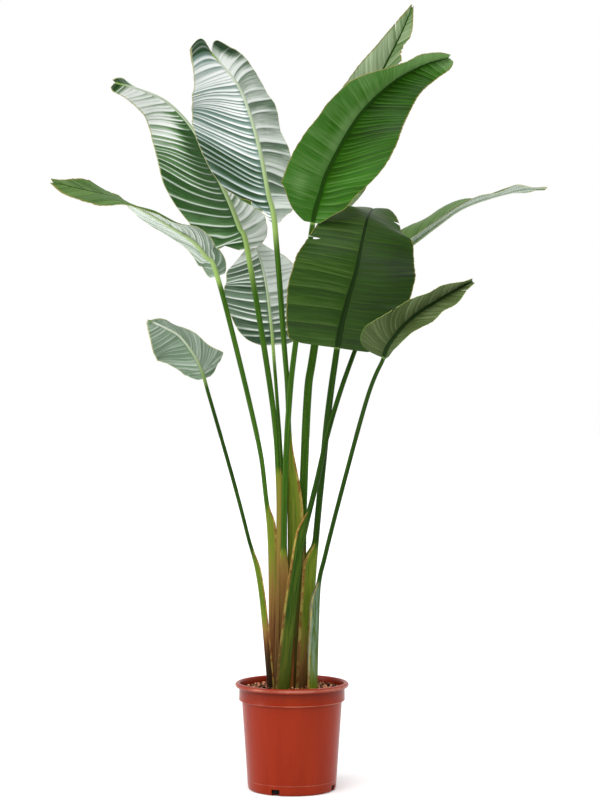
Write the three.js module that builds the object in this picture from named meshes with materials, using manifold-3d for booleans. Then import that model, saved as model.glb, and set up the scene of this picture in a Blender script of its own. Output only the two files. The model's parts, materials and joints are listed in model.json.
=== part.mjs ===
// Potted bird of paradise (Strelitzia nicolai): ten long-stalked leaves in a plastic nursery pot.
// Millimetres, +Z up. The origin is the middle of the pot's flat underside, and the front looks along -Y.
import * as THREE from 'three';
import { mergeVertices } from 'three/addons/utils/BufferGeometryUtils.js';
import Module from 'manifold-3d';

const wasm = await Module();
wasm.setup();

// ---- driving dimensions ----

const CLEARANCE = 0.3; // gap between pieces that touch
const SHEATH_CLEARANCE = 0.7; // gap between neighbouring stalks and sheaths
const HOLE_CLEARANCE = 0.7; // the soil's holes are this much larger than the stems
const BLADE_THICKNESS = 1.1;

const POT = {
  height: 225,
  rimRadius: 120, // outside of the rolled rim
  rollHeight: 10,
  lipInner: 112.5, // where the rim's top starts to roll outward
  collarRadius: 111.7, // the straight band under the rim
  collarFoot: 188,
  neckRadius: 106, // the tapered wall, at its top
  footRadius: 93, // and at its bottom
  footRound: 6,
  wall: 2.2,
  floor: 3,
};
const NOTCH = { width: 17, height: 13.5, reach: 9, count: 4, firstAngle: -111.5 }; // drainage, degrees
const POT_SIDES = 36;

const SOIL = { top: 213, lump: 2.2, rings: [0.8, 0.4] };
const STEM_FOOT = 150; // the height where the buried stems end

// Each leaf: the route of its stalk and midrib, and how the two half blades hang on the midrib.
// "turn" rolls the upper face away from the front, "fold" lifts the halves into a V and "droop" bends
// each half back, all in degrees and spread evenly from the blade's base to its tip, as are the widths.
// "forward" sweeps the side veins of the right and the left half towards the tip, and "lobe" carries the
// margin on past it. A split is [place, depth, gap]: the place along the blade, how far in from the margin
// it reaches, both as shares, and how wide it gapes. An ear is [place, half length, height] and stands out
// of the margin. "roundBase" is the share of the length over which the base is rounded, where it differs
// from most leaves. A sheath's wings spread below its top: the share "abrupt" of them over the height
// "shoulder" and the rest down to the soil. With an offset of 1 they reach out on the open side only.
const LEAVES = {
  leaf_upper_right: {
    petiole: [[-17, -12, STEM_FOOT], [-17, -12, 480], [-14, -14, 662], [-6, -22, 810], [6, -30, 926],
      [43, -50, 1185]],
    midrib: [[59, -56, 1249], [77, -60, 1303], [136, -60, 1408], [203, -50, 1478], [270, -36, 1520],
      [337, -22, 1543]],
    stalk: [7, 5.4],
    sheath: { top: 520, half: 11, depth: 9, turn: 10, offset: 0, abrupt: 0.6, shoulder: 60 },
    turn: [5, 10, 16, 25, 30], droop: [14, 20, 20, 20, 20], forward: [0.26, 0.01], wave: [5, 3, 0.1],
    right: { width: [22, 70, 97, 110, 104, 84, 60, 40, 14], fold: [36, 46, 45, 52, 78] },
    left: {
      width: [30, 77, 98, 102, 97, 82, 58, 38, 16], fold: [20, 40, 48, 56, 78], ears: [[0.135, 0.05, 15]],
    },
  },
  leaf_tall_left: {
    petiole: [[-4, 9, STEM_FOOT], [-3, 8, 482], [-7, 2, 800], [-17, -8, 948], [-36, -34, 1186]],
    midrib: [[-50, -44, 1252], [-66, -60, 1336], [-87, -80, 1412], [-113, -104, 1473], [-164, -165, 1536]],
    stalk: [6.4, 5.8],
    sheath: { top: 780, half: 10, depth: 38, turn: 100, offset: 1, abrupt: 0.75, shoulder: 200 },
    turn: [190, 198, 198, 190, 180], droop: [10, 20, 20, 20, 20], forward: [0.34, 0], wave: [5, 4, 0.3],
    right: {
      width: [6, 64, 106, 126, 131, 121, 96, 68, 26], fold: [20, 50, 50, 40, 8], lobe: 0.1,
      splits: [[0.71, 0.75, 8]],
    },
    left: { width: [24, 72, 103, 124, 118, 98, 72, 52, 20], fold: [20, 48, 52, 54, 54, 40, 8], lobe: 0.05 },
  },
  leaf_back_centre: {
    petiole: [[-19, 34, STEM_FOOT], [-19, 38, 480], [-22, 46, 672], [-32, 58, 820], [-41, 72, 936]],
    midrib: [[-44, 78, 972], [-50, 86, 1026], [-56, 94, 1069], [-65, 104, 1112], [-84, 146, 1170]],
    stalk: [4.6, 3.6],
    sheath: { top: 420, half: 7, depth: 7, turn: 185, offset: 0, abrupt: 0.5, shoulder: 60 },
    turn: [185, 188, 188, 185], droop: [10, 14, 14, 14], forward: [0.2, 0.16], wave: [4, 3, 0.6],
    right: { width: [35, 65, 83, 94, 100, 96, 88, 71, 6], fold: [20, 34, 34, 30] },
    left: { width: [45, 77, 95, 106, 109, 98, 75, 48, 6], fold: [20, 34, 34, 30] },
  },
  leaf_top_right: {
    petiole: [[8, 26, STEM_FOOT], [19, 27, 480], [32, 36, 810], [46, 46, 923], [93, 80, 1218]],
    midrib: [[111, 90, 1294], [130, 100, 1376], [161, 110, 1463], [201, 115, 1546], [239, 114, 1622],
      [263, 108, 1680]],
    stalk: [9.8, 7.8],
    sheath: { top: 560, half: 12, depth: 10, turn: -10, offset: 0, abrupt: 0.5, shoulder: 60 },
    turn: [-10, -15, -20, -20, -20], droop: [10, 14, 14, 14, 14], forward: [0.2, 0.26], wave: [4, 3, 0.2],
    right: {
      width: [25, 58, 72, 78, 78, 70, 47, 26, 3], fold: [20, 36, 38, 38, 30], splits: [[0.66, 0.4, 10]],
    },
    left: {
      width: [22, 50, 65, 71, 69, 56, 41, 24, 3], fold: [20, 42, 50, 50, 40], splits: [[0.83, 0.55, 7]],
    },
  },
  leaf_front: {
    petiole: [[27, 3, STEM_FOOT], [44, 0, 461], [68, -20, 716], [81, -40, 834], [94, -60, 925]],
    midrib: [[103, -70, 976], [117, -78, 1032], [133, -78, 1087], [148, -64, 1144], [164, -36, 1200],
      [186, 48, 1232]],
    stalk: [9.5, 6.4],
    sheath: { top: 530, half: 12, depth: 34, turn: -80, offset: 1, abrupt: 0.9, shoulder: 60 },
    turn: [5, 5, 5, -6, -32], droop: [8, 14, 14, 14, 10], forward: [0.14, 0.24], wave: [4, 4, 0.5],
    roundBase: 0.035,
    right: {
      width: [86, 111, 122, 124, 120, 118, 110, 84, 24], fold: [5, 14, 14, 8, -4, -6, 0], lobe: 0.03,
      splits: [[0.62, 0.75, 8]],
    },
    left: {
      width: [98, 118, 128, 131, 120, 102, 80, 58, 30], fold: [5, 14, 14, 8, 0, 0, 0], lobe: 0.03,
      splits: [[0.4, 0.75, 12]],
    },
  },
  leaf_low_left: {
    petiole: [[-41, -18, STEM_FOOT], [-66, -22, 421], [-93, -26, 539], [-126, -32, 664], [-183, -46, 863]],
    midrib: [[-190, -48, 884], [-202, -50, 910], [-233, -56, 952], [-268, -66, 973], [-300, -80, 987]],
    stalk: [5.2, 3.6],
    sheath: { top: 520, half: 8, depth: 12, turn: 110, offset: 1, abrupt: 0.7, shoulder: 60 },
    turn: [200, 202, 202, 195], droop: [10, 20, 20, 10], forward: [0.36, 0.3], wave: [4, 2, 0.4],
    right: { width: [20, 34, 44, 53, 65, 68, 59, 35, 3], fold: [35, 38, 38, 30] },
    left: {
      width: [34, 50, 52, 52, 54, 48, 40, 25, 3], fold: [35, 40, 50, 60, 60], ears: [[0.2, 0.07, 34]],
    },
  },
  leaf_far_left: {
    petiole: [[-44, 13, STEM_FOOT], [-45, 6, 483], [-55, -4, 622], [-76, -10, 758], [-155, -30, 1076]],
    midrib: [[-180, -36, 1121], [-207, -44, 1154], [-250, -56, 1182], [-299, -74, 1210],
      [-360, -90, 1239], [-429, -100, 1255], [-498, -110, 1271]],
    stalk: [5.8, 5.2],
    sheath: { top: 612, half: 10, depth: 20, turn: 105, offset: 1, abrupt: 0.8, shoulder: 60 },
    turn: [175, 160, 115, 100, 78, 56, 46], droop: [10, 10, 10, 10, 10], forward: [0.4, 0.4],
    wave: [3, 3, 0.2],
    right: { width: [40, 40, 40, 48, 60, 66, 57, 38, 6], fold: [45, 45, 8, 2, 0, 0, 4] },
    left: { width: [34, 34, 32, 44, 60, 68, 57, 38, 6], fold: [45, 45, 4, 0, 0, 2, 4] },
  },
  leaf_upper_left: {
    petiole: [[-31, -3, STEM_FOOT], [-27, -2, 482], [-28, 0, 652], [-42, 6, 821], [-95, 50, 1138]],
    midrib: [[-113, 60, 1190], [-138, 66, 1253], [-172, 70, 1322], [-213, 62, 1401], [-266, 40, 1456],
      [-322, 4, 1478], [-377, -40, 1487]],
    stalk: [7, 5.8],
    sheath: { top: 690, half: 12, depth: 19, turn: 115, offset: 1, abrupt: 0.7, shoulder: 60 },
    turn: [190, 198, 198, 190, 180], droop: [10, 20, 20, 20, 20], forward: [0.3, 0.2], wave: [5, 4, 0.1],
    right: { width: [24, 84, 108, 118, 112, 92, 60, 28, 12], fold: [20, 50, 50, 45, 30] },
    left: { width: [35, 86, 113, 125, 115, 96, 64, 30, 12], fold: [20, 46, 62, 84, 92, 92, 80] },
  },
  leaf_low_right: {
    petiole: [[46, -12, STEM_FOOT], [51, -18, 340], [56, -22, 435], [68, -30, 490], [95, -48, 598],
      [154, -105, 820], [186, -138, 904]],
    midrib: [[195, -146, 928], [211, -156, 952], [234, -168, 979], [269, -180, 1006], [333, -196, 1044],
      [368, -202, 1062]],
    stalk: [6.6, 4],
    sheath: { top: 450, half: 11, depth: 22, turn: -85, offset: 1, abrupt: 0.85, shoulder: 60 },
    turn: [-25, -20, -16, -14, -12], droop: [10, 14, 14, 14, 14], forward: [0.5, 0.5], wave: [3, 3, 0.7],
    right: {
      width: [18, 32, 42, 50, 58, 55, 45, 30, 3], fold: [20, 45, 50, 50, 45], splits: [[0.86, 0.4, 6]],
    },
    left: {
      width: [50, 62, 60, 52, 47, 44, 37, 24, 3], fold: [20, 55, 75, 80, 80], splits: [[0.42, 0.75, 6]],
    },
  },
  leaf_far_right: {
    petiole: [[-18, -32, STEM_FOOT], [0, -32, 356], [15, -33, 483], [25, -36, 543], [52, -44, 654],
      [75, -46, 754], [102, -36, 843], [132, -14, 926], [168, 12, 1022], [203, 36, 1108]],
    midrib: [[225, 43, 1138], [257, 48, 1157], [307, 52, 1194], [363, 64, 1233], [427, 74, 1257],
      [494, 84, 1273], [552, 92, 1277]],
    stalk: [8, 5.2],
    sheath: { top: 600, half: 11, depth: 28, turn: -100, offset: 1, abrupt: 0.65, shoulder: 60 },
    turn: [-60, -76, -86, -92, -94, -94, -92], droop: [10, 10, 10, 10, 10], forward: [0.4, 0.4],
    wave: [3, 3, 0.4],
    right: { width: [30, 54, 67, 75, 75, 66, 53, 34, 3], fold: [14, 14, 14, 12, 9, 8, 8] },
    left: { width: [30, 54, 67, 75, 75, 66, 53, 34, 3], fold: [38, 40, 34, 20, 8, 8, 8] },
  },
};

const DRY_SHEATH = {
  route: [[-3, -24, 170], [-3, -25, 214], [0, -27, 262], [5, -30, 322]],
  half: 7, depth: 5.5, turn: 175, wall: 3,
};

const BLADE = {
  pitch: 25, // distance between stations, half a pleat
  pleat: 2.2, // how far the pleats rise and sink
  reaches: [0.4, 0.75, 1], // columns of each half, as shares of its width
  first: 0.012, last: 0.99, // the blade starts just above the stalk's end and stops just short of the tip
  narrowest: 3,
  roundBase: 0.07, // share of the length over which the base is rounded
};
const MIDRIB = { tipRadius: 1.6, end: 0.97, sink: 0.5, pitch: 75 };
const STALK = {
  arcSteps: 4, edge: 0.6, sheathPitch: 68, petiolePitch: 130,
  topBulge: 0.8, // the upper side of a round stalk, as a share of its radius
  sheathHollow: 0.4, // the hollow of an open sheath, as a share of its depth
};

const COLOURS = {
  pot: 0x9c3a20, soil: 0x3f2b1e, dry: 0x8a5a34, upper: 0x3f6326, pale: 0x9db3a4,
};
const PALE_LEAVES = [
  'leaf_tall_left', 'leaf_upper_left', 'leaf_far_left', 'leaf_low_left', 'leaf_back_centre',
];

// ---- helpers ----

const FRONT = new THREE.Vector3(0, -1, 0);
const clamp = THREE.MathUtils.clamp;
const radians = THREE.MathUtils.degToRad;
const smooth = (t) => THREE.MathUtils.smoothstep(t, 0, 1);

/** A value at share u of a list that is spread evenly over 0..1 and blended smoothly. */
function spread(values, u) {
  const last = values.length - 1;
  const x = clamp(u, 0, 1) * last;
  const i = Math.min(Math.floor(x), last - 1);
  const t = x - i;
  const at = (k) => {
    if (k < 0) return 2 * values[0] - values[1];
    if (k > last) return 2 * values[last] - values[last - 1];
    return values[k];
  };
  const [a, b, c, d] = [at(i - 1), at(i), at(i + 1), at(i + 2)];
  const square = 2 * a - 5 * b + 4 * c - d;
  const cube = 3 * b - a - 3 * c + d;
  return 0.5 * (2 * b + (c - a) * t + square * t ** 2 + cube * t ** 3);
}

/** A smooth curve through points, measured along its length. */
class Route {
  constructor(points) {
    const knots = points.map((p) => new THREE.Vector3(...p));
    this.curve = new THREE.CatmullRomCurve3(knots, false, 'catmullrom', 0.5);
    this.curve.arcLengthDivisions = 800;
    this.length = this.curve.getLength();
    this.count = points.length;
  }

  at(s) {
    return this.curve.getPointAt(clamp(s / this.length, 0, 1));
  }

  tangent(s, reach = 12) {
    return this.at(s + reach).sub(this.at(s - reach)).normalize();
  }

  /** Distance along the curve of control point k. */
  lengthAt(k) {
    return this.curve.getLengths()[Math.round((800 * k) / (this.count - 1))];
  }
}

/** Tangent, upper-face normal and sideways direction at a place on a route. */
function attitude(route, s, turn) {
  const tangent = route.tangent(s);
  const front = FRONT.clone().addScaledVector(tangent, -tangent.dot(FRONT)).normalize();
  const across = tangent.clone().cross(front);
  const a = radians(turn);
  const normal = front.clone().multiplyScalar(Math.cos(a)).addScaledVector(across, Math.sin(a));
  const side = across.multiplyScalar(Math.cos(a)).addScaledVector(front, -Math.sin(a));
  return { tangent, normal, side };
}

/** A closed geometry with merged vertices becomes a solid. */
function toSolid(geometry) {
  geometry.deleteAttribute('normal');
  geometry.deleteAttribute('uv');
  const merged = mergeVertices(geometry, 1e-4);
  const index = merged.index.array;
  const kept = [];
  for (let t = 0; t < index.length; t += 3) {
    const [a, b, c] = [index[t], index[t + 1], index[t + 2]];
    if (a !== b && b !== c && c !== a) kept.push(a, b, c);
  }
  const vertProperties = Float32Array.from(merged.attributes.position.array);
  return new wasm.Manifold(new wasm.Mesh({ numProp: 3, vertProperties, triVerts: Uint32Array.from(kept) }));
}

/** The largest piece of a solid: cutting can leave loose scraps. */
function largestPiece(solid) {
  const pieces = solid.decompose();
  return pieces.reduce((best, piece) => (piece.volume() > best.volume() ? piece : best));
}

function toMesh(name, solid, color, roughness) {
  const mesh = solid.getMesh();
  const geometry = new THREE.BufferGeometry();
  geometry.setAttribute('position', new THREE.BufferAttribute(Float32Array.from(mesh.vertProperties), 3));
  geometry.setIndex(new THREE.BufferAttribute(Uint32Array.from(mesh.triVerts), 1));
  geometry.computeVertexNormals();
  const node = new THREE.Mesh(geometry, new THREE.MeshStandardMaterial({ color, roughness, metalness: 0 }));
  node.name = name;
  return node;
}

/** A closed tube of rings, each a list of points, with a flat cap at each end. */
function loft(rings) {
  const sides = rings[0].length;
  const positions = [];
  const index = [];
  rings.forEach((ring) => ring.forEach((p) => positions.push(p.x, p.y, p.z)));
  for (let r = 0; r + 1 < rings.length; r += 1) {
    for (let k = 0; k < sides; k += 1) {
      const a = r * sides + k;
      const b = r * sides + ((k + 1) % sides);
      index.push(a, b, b + sides, a, b + sides, a + sides);
    }
  }
  // A cap runs between the two arcs of the section, which works for a crescent too.
  const cap = (start, flip) => {
    for (let k = 0; k < sides / 2 - 1; k += 1) {
      const [low, nextLow] = [start + k, start + k + 1];
      const [high, nextHigh] = [start + sides - 1 - k, start + sides - 2 - k];
      [[low, nextLow, high], [nextLow, nextHigh, high]]
        .forEach(([a, b, c]) => index.push(...(flip ? [a, c, b] : [a, b, c])));
    }
  };
  cap(0, true);
  cap((rings.length - 1) * sides, false);
  const geometry = new THREE.BufferGeometry();
  geometry.setAttribute('position', new THREE.Float32BufferAttribute(positions, 3));
  geometry.setIndex(index);
  return geometry;
}

/** A solid whatever way round its faces were listed. */
function outward(geometry) {
  const solid = toSolid(geometry);
  if (solid.volume() > 0) return solid;
  const index = geometry.index.array;
  for (let t = 0; t < index.length; t += 3) [index[t], index[t + 1]] = [index[t + 1], index[t]];
  return toSolid(geometry);
}

// ---- leaves ----

/** How far a vein has run ahead of where it leaves the midrib, at share reach of the half's width. */
function veinSweep(leaf, half, u, reach) {
  const forward = leaf.forward[half === leaf.right ? 0 : 1];
  const lobe = (half.lobe ?? 0) * clamp((u - 0.85) / 0.15, 0, 1);
  return forward * smooth(u / 0.3) * clamp(1 - u, 0, 1) ** 0.8 * reach ** 1.4 + lobe * reach ** 0.8;
}

/** Width of a half blade along the vein that leaves the midrib at share u. */
function halfWidth(leaf, half, u) {
  const rounding = Math.sqrt(1 - clamp(1 - u / (leaf.roundBase ?? BLADE.roundBase), 0, 1) ** 2);
  const end = u + veinSweep(leaf, half, u, 1);
  const plain = spread(half.width, end / (1 + (half.lobe ?? 0))) * rounding;
  const ear = ([at, span, out]) => out * Math.exp(-(Math.abs((end - at) / span) ** 1.5));
  const width = (half.ears ?? []).reduce((sum, each) => sum + ear(each), plain);
  return { rounding, width: Math.max(width, BLADE.narrowest) };
}

/** The point at share u of the blade and share reach of the half's width, lifted off the surface. */
function bladePoint(leaf, route, base, hand, u, reach, lift = 0) {
  const half = hand > 0 ? leaf.right : leaf.left;
  const { rounding, width } = halfWidth(leaf, half, u);
  const length = route.length - base;
  const v = u + veinSweep(leaf, half, u, reach);
  const s = base + Math.min(v, 1) * length;
  const { normal, side } = attitude(route, s, spread(leaf.turn, v));
  const fold = spread(half.fold, v);
  const droop = spread(leaf.droop, v);
  const rise = radians(fold - (droop * reach) / 2);
  const tilt = radians(fold - droop * reach);
  const [height, count, phase] = leaf.wave;
  const wave = height * Math.sin(2 * Math.PI * (count * u + phase)) * reach ** 2 * rounding;
  const out = side.clone().multiplyScalar(hand * Math.cos(rise)).addScaledVector(normal, Math.sin(rise));
  const up = side.clone().multiplyScalar(-hand * Math.sin(tilt)).addScaledVector(normal, Math.cos(tilt));
  return route.at(s)
    .addScaledVector(route.tangent(route.length), Math.max(v - 1, 0) * length)
    .addScaledVector(out, width * reach)
    .addScaledVector(up, wave + lift);
}

/** Both half blades as one sheet of triangles, pleated from station to station and split where torn. */
function bladeSheet(leaf, route, base) {
  const steps = Math.max(Math.round((route.length - base) / BLADE.pitch), 12);
  const stations = Array.from({ length: steps + 1 }, (_, i) => {
    const share = i / steps;
    const eased = 0.75 * share + 0.25 * (1 - Math.cos((share * Math.PI) / 2));
    return BLADE.first + (BLADE.last - BLADE.first) * eased;
  });
  const columns = [...BLADE.reaches.map((r) => -r).reverse(), 0, ...BLADE.reaches];
  const splits = new Map();
  const addSplits = (hand, half) => (half.splits ?? []).forEach(([place, depth, gap]) => {
    let nearest = 1;
    stations.forEach((u, i) => {
      if (i < steps && Math.abs(u - place) < Math.abs(stations[nearest] - place)) nearest = i;
    });
    splits.set(`${hand} ${nearest}`, { depth, gap });
  });
  addSplits(1, leaf.right);
  addSplits(-1, leaf.left);

  const points = [];
  const known = new Map();
  /** Index of the vertex at station i and column k; a split gives one on each of its edges. */
  const vertex = (i, k, edge) => {
    const reach = Math.abs(columns[k]);
    const hand = columns[k] < 0 ? -1 : 1;
    const split = splits.get(`${hand} ${i}`);
    const open = split && reach > split.depth + 1e-6;
    const key = `${i} ${k} ${open ? edge : 0}`;
    if (!known.has(key)) {
      const gape = open ? (edge * split.gap * (reach - split.depth)) / (1 - split.depth) / 2 : 0;
      const u = stations[i] + gape / (route.length - base);
      const relief = BLADE.pleat * Math.sin(Math.PI * reach ** 0.6) * (i % 2 ? 1 : -1);
      points.push(bladePoint(leaf, route, base, hand, u, reach, relief));
      known.set(key, points.length - 1);
    }
    return known.get(key);
  };
  const triangles = [];
  for (let i = 0; i < steps; i += 1) {
    for (let k = 0; k + 1 < columns.length; k += 1) {
      const [a, b] = [vertex(i, k, 1), vertex(i, k + 1, 1)];
      const [c, d] = [vertex(i + 1, k + 1, -1), vertex(i + 1, k, -1)];
      if (columns[k] < 0) triangles.push([a, b, d], [b, c, d]);
      else triangles.push([a, b, c], [a, c, d]);
    }
  }
  return { points, triangles };
}

/** A sheet gets a thickness: both faces split alike, with a wall along every free edge. */
function thicken({ points, triangles }, thickness) {
  const normals = points.map(() => new THREE.Vector3());
  const edges = new Set();
  triangles.forEach(([a, b, c]) => {
    const normal = points[b].clone().sub(points[a]).cross(points[c].clone().sub(points[a]));
    [a, b, c].forEach((v) => normals[v].add(normal));
    edges.add(`${a} ${b}`).add(`${b} ${c}`).add(`${c} ${a}`);
  });
  const positions = [];
  [0.5, -0.5].forEach((face) => points.forEach((p, v) => {
    const q = p.clone().addScaledVector(normals[v].clone().normalize(), face * thickness);
    positions.push(q.x, q.y, q.z);
  }));
  const index = [];
  const under = points.length;
  triangles.forEach(([a, b, c]) => index.push(a, b, c, a + under, c + under, b + under));
  edges.forEach((edge) => {
    const [a, b] = edge.split(' ').map(Number);
    if (!edges.has(`${b} ${a}`)) index.push(a, a + under, b + under, a, b + under, b);
  });
  const geometry = new THREE.BufferGeometry();
  geometry.setAttribute('position', new THREE.Float32BufferAttribute(positions, 3));
  geometry.setIndex(index);
  return geometry;
}

/**
 * One ring of a stalk: an outer arc on the underside and an inner arc on the upper side, which bulges
 * where the stalk is round (hollow is negative) and sinks where it is an open sheath. The arcs meet in
 * two blunt edges. "extra" swells the section on every side, and then an open sheath is filled.
 */
function stalkRing(centre, { normal, side }, half, depth, hollow, extra) {
  const edge = STALK.edge + extra;
  const sunk = extra > 0 ? Math.min(hollow, 0) : hollow;
  const arcPoints = (upper) => Array.from({ length: STALK.arcSteps + 1 }, (_, k) => {
    const angle = (Math.PI * k) / STALK.arcSteps;
    const x = (half + extra) * Math.cos(angle) * (upper ? -1 : 1);
    const y = upper
      ? edge - (sunk + STALK.edge) * Math.sin(angle)
      : -edge - (depth - STALK.edge) * Math.sin(angle);
    return centre.clone().addScaledVector(side, x).addScaledVector(normal, y);
  });
  return [...arcPoints(false), ...arcPoints(true)];
}

/** Sheath, petiole and midrib in one sweep; "extra" swells it, "top" ends it early. */
function stalkSolid(leaf, route, base, extra = 0, top = Infinity) {
  const length = route.length - base;
  const places = [];
  const { sheath } = leaf;
  const petioleHeight = leaf.petiole[leaf.petiole.length - 1][2] - sheath.top;
  for (let s = 0; s < base - STALK.sheathPitch / 2;) {
    places.push(s);
    s += route.at(s).z < sheath.top ? STALK.sheathPitch : STALK.petiolePitch;
  }
  const ribs = Math.round((MIDRIB.end * length) / MIDRIB.pitch);
  for (let k = 0; k <= ribs; k += 1) places.push(base + (k / ribs) * MIDRIB.end * length);
  const rings = [];
  places.forEach((s, i) => {
    const centre = route.at(s);
    if (centre.z > top) return;
    const u = (s - base) / length;
    const stem = clamp(s / base, 0, 1);
    const radius = THREE.MathUtils.lerp(leaf.stalk[0], leaf.stalk[1], stem);
    if (u > 0) {
      const facing = attitude(route, s, spread(leaf.turn, u));
      const slim = THREE.MathUtils.lerp(radius, MIDRIB.tipRadius, (u / MIDRIB.end) ** 0.8);
      centre.addScaledVector(facing.normal, -slim * MIDRIB.sink);
      rings.push(stalkRing(centre, facing, slim, slim, -slim * STALK.topBulge, extra));
      return;
    }
    const below = sheath.top - centre.z;
    const turn = THREE.MathUtils.lerp(sheath.turn, leaf.turn[0], smooth(-below / petioleHeight));
    const facing = attitude(route, s, turn);
    const spreading = smooth(below / (sheath.top - SOIL.top));
    const wing = THREE.MathUtils.lerp(spreading, smooth(below / sheath.shoulder), sheath.abrupt);
    const half = THREE.MathUtils.lerp(radius, sheath.half, wing);
    const depth = THREE.MathUtils.lerp(radius, sheath.depth, wing);
    const hollow = THREE.MathUtils.lerp(-radius * STALK.topBulge, sheath.depth * STALK.sheathHollow, wing);
    centre.addScaledVector(facing.normal, sheath.offset * (depth - radius));
    if (i === 0) centre.z -= extra;
    rings.push(stalkRing(centre, facing, half, depth, hollow, extra));
  });
  return outward(loft(rings));
}

/** The blade and stalk of a leaf, fused. */
function leafSolid(leaf, route, base) {
  const blade = outward(thicken(bladeSheet(leaf, route, base), BLADE_THICKNESS));
  return stalkSolid(leaf, route, base).add(blade);
}

// ---- dry sheath, pot and soil ----

/** The pointed foot of a lost leaf: a crescent that narrows to a tip. */
function drySheathSolid(extra = 0) {
  const { route: points, half, depth, turn, wall } = DRY_SHEATH;
  const route = new Route(points);
  const steps = 8;
  const rings = Array.from({ length: steps + 1 }, (_, i) => {
    const share = i / steps;
    const s = share * route.length;
    const narrowing = 1 - 0.86 * share ** 1.6;
    const centre = route.at(s);
    if (i === 0) centre.z -= extra;
    const facing = attitude(route, s, turn);
    return stalkRing(centre, facing, half * narrowing, depth * narrowing, (depth - wall) * narrowing, extra);
  });
  return outward(loft(rings));
}

/** Inner radius of the pot at a height. */
function potInside(z) {
  if (z > POT.collarFoot) return POT.collarRadius - POT.wall;
  return THREE.MathUtils.lerp(POT.footRadius, POT.neckRadius, z / POT.collarFoot) - POT.wall;
}

function revolve(profile) {
  const points = profile.map(([radius, z]) => new THREE.Vector2(radius, z));
  return new THREE.LatheGeometry(points, POT_SIDES).rotateX(Math.PI / 2);
}

function arc(centreRadius, centreZ, radius, from, to, steps) {
  return Array.from({ length: steps + 1 }, (_, i) => {
    const a = radians(from + ((to - from) * i) / steps);
    return [centreRadius + radius * Math.cos(a), centreZ + radius * Math.sin(a)];
  });
}

function potSolid() {
  const p = POT;
  const roll = p.rollHeight / 2;
  const profile = [
    [0, 0],
    ...arc(p.footRadius - p.footRound, p.footRound, p.footRound, -90, 0, 2),
    [p.neckRadius, p.collarFoot - 2],
    [p.collarRadius, p.collarFoot],
    [p.collarRadius, p.height - p.rollHeight],
    [p.rimRadius - roll / 2, p.height - p.rollHeight],
    ...arc(p.rimRadius - roll, p.height - roll, roll, -30, 90, 4),
    [p.lipInner, p.height],
    [potInside(p.height), p.height - 4],
    [potInside(p.height), p.collarFoot + 1],
    [potInside(p.collarFoot), p.collarFoot - 3],
    [potInside(0), p.floor + 4],
    [potInside(0) - 3, p.floor],
    [0, p.floor],
  ];
  let solid = outward(revolve(profile));
  for (let k = 0; k < NOTCH.count; k += 1) {
    const angle = radians(NOTCH.firstAngle + (360 / NOTCH.count) * k);
    const middle = p.footRadius - NOTCH.reach / 2 + 5;
    const box = new THREE.BoxGeometry(NOTCH.reach + 10, NOTCH.width, NOTCH.height * 2)
      .rotateZ(angle)
      .translate(middle * Math.cos(angle), middle * Math.sin(angle), 0);
    solid = solid.subtract(toSolid(box));
  }
  return solid;
}

/** Soil fills the pot; its top is lumpy, and each stem stands in a plain hole. */
function soilSolid(stems) {
  const edge = potInside(POT.height) - CLEARANCE;
  const profile = [
    [0, POT.floor + CLEARANCE],
    [potInside(0) - 3.5, POT.floor + CLEARANCE],
    [potInside(0) - CLEARANCE, POT.floor + 4.5],
    [potInside(POT.collarFoot) - CLEARANCE, POT.collarFoot - 3 + CLEARANCE],
    [edge, POT.collarFoot + 1 + CLEARANCE],
    [edge, SOIL.top - 1],
    ...SOIL.rings.map((share) => [edge * share, SOIL.top]),
    [0, SOIL.top],
  ];
  const geometry = revolve(profile);
  const position = geometry.attributes.position;
  for (let v = 0; v < position.count; v += 1) {
    const [x, y, z] = [position.getX(v), position.getY(v), position.getZ(v)];
    const radius = Math.hypot(x, y);
    if (z > SOIL.top - 2 && radius < edge - 1) {
      const lumps = Math.sin(x * 0.13 + 1) * Math.cos(y * 0.11 - 2) + 0.6 * Math.sin(x * 0.31 + y * 0.27);
      position.setZ(v, z + SOIL.lump * lumps * Math.min(1, radius / 10));
    }
  }
  return stems.reduce((soil, stem) => soil.subtract(stem), outward(geometry));
}

// ---- the plant ----

const group = new THREE.Group();
const feet = [];
const stems = [];
const CROWDED = 800; // below this height the stalks and sheaths stand close together

Object.entries(LEAVES).forEach(([name, leaf]) => {
  const route = new Route([...leaf.petiole, ...leaf.midrib]);
  const base = route.lengthAt(leaf.petiole.length - 1);
  let solid = leafSolid(leaf, route, base);
  feet.forEach((foot) => { solid = solid.subtract(foot); });
  feet.push(stalkSolid(leaf, route, base, SHEATH_CLEARANCE, CROWDED));
  stems.push(stalkSolid(leaf, route, base, HOLE_CLEARANCE, SOIL.top + 60));
  const colour = PALE_LEAVES.includes(name) ? COLOURS.pale : COLOURS.upper;
  group.add(toMesh(name, largestPiece(solid), colour, 0.45));
});

let drySheath = drySheathSolid();
feet.forEach((foot) => { drySheath = drySheath.subtract(foot); });
stems.push(drySheathSolid(HOLE_CLEARANCE));
group.add(toMesh('dry_sheath', largestPiece(drySheath), COLOURS.dry, 0.85));
group.add(toMesh('soil', soilSolid(stems), COLOURS.soil, 1));
group.add(toMesh('pot', potSolid(), COLOURS.pot, 0.5));

export default group;
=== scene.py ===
"""The looks of a potted bird of paradise: pleated leaves, stalks with their sheaths, soil and pot.

Lengths are millimetres in the part's own frame until a mesh is made, and metres in Blender. The leaves
follow the routes, widths and folds of the part's source, with finer pleats, veins and torn edges.
"""
import json
import math

import bpy
import numpy as np
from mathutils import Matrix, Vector, noise

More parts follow.
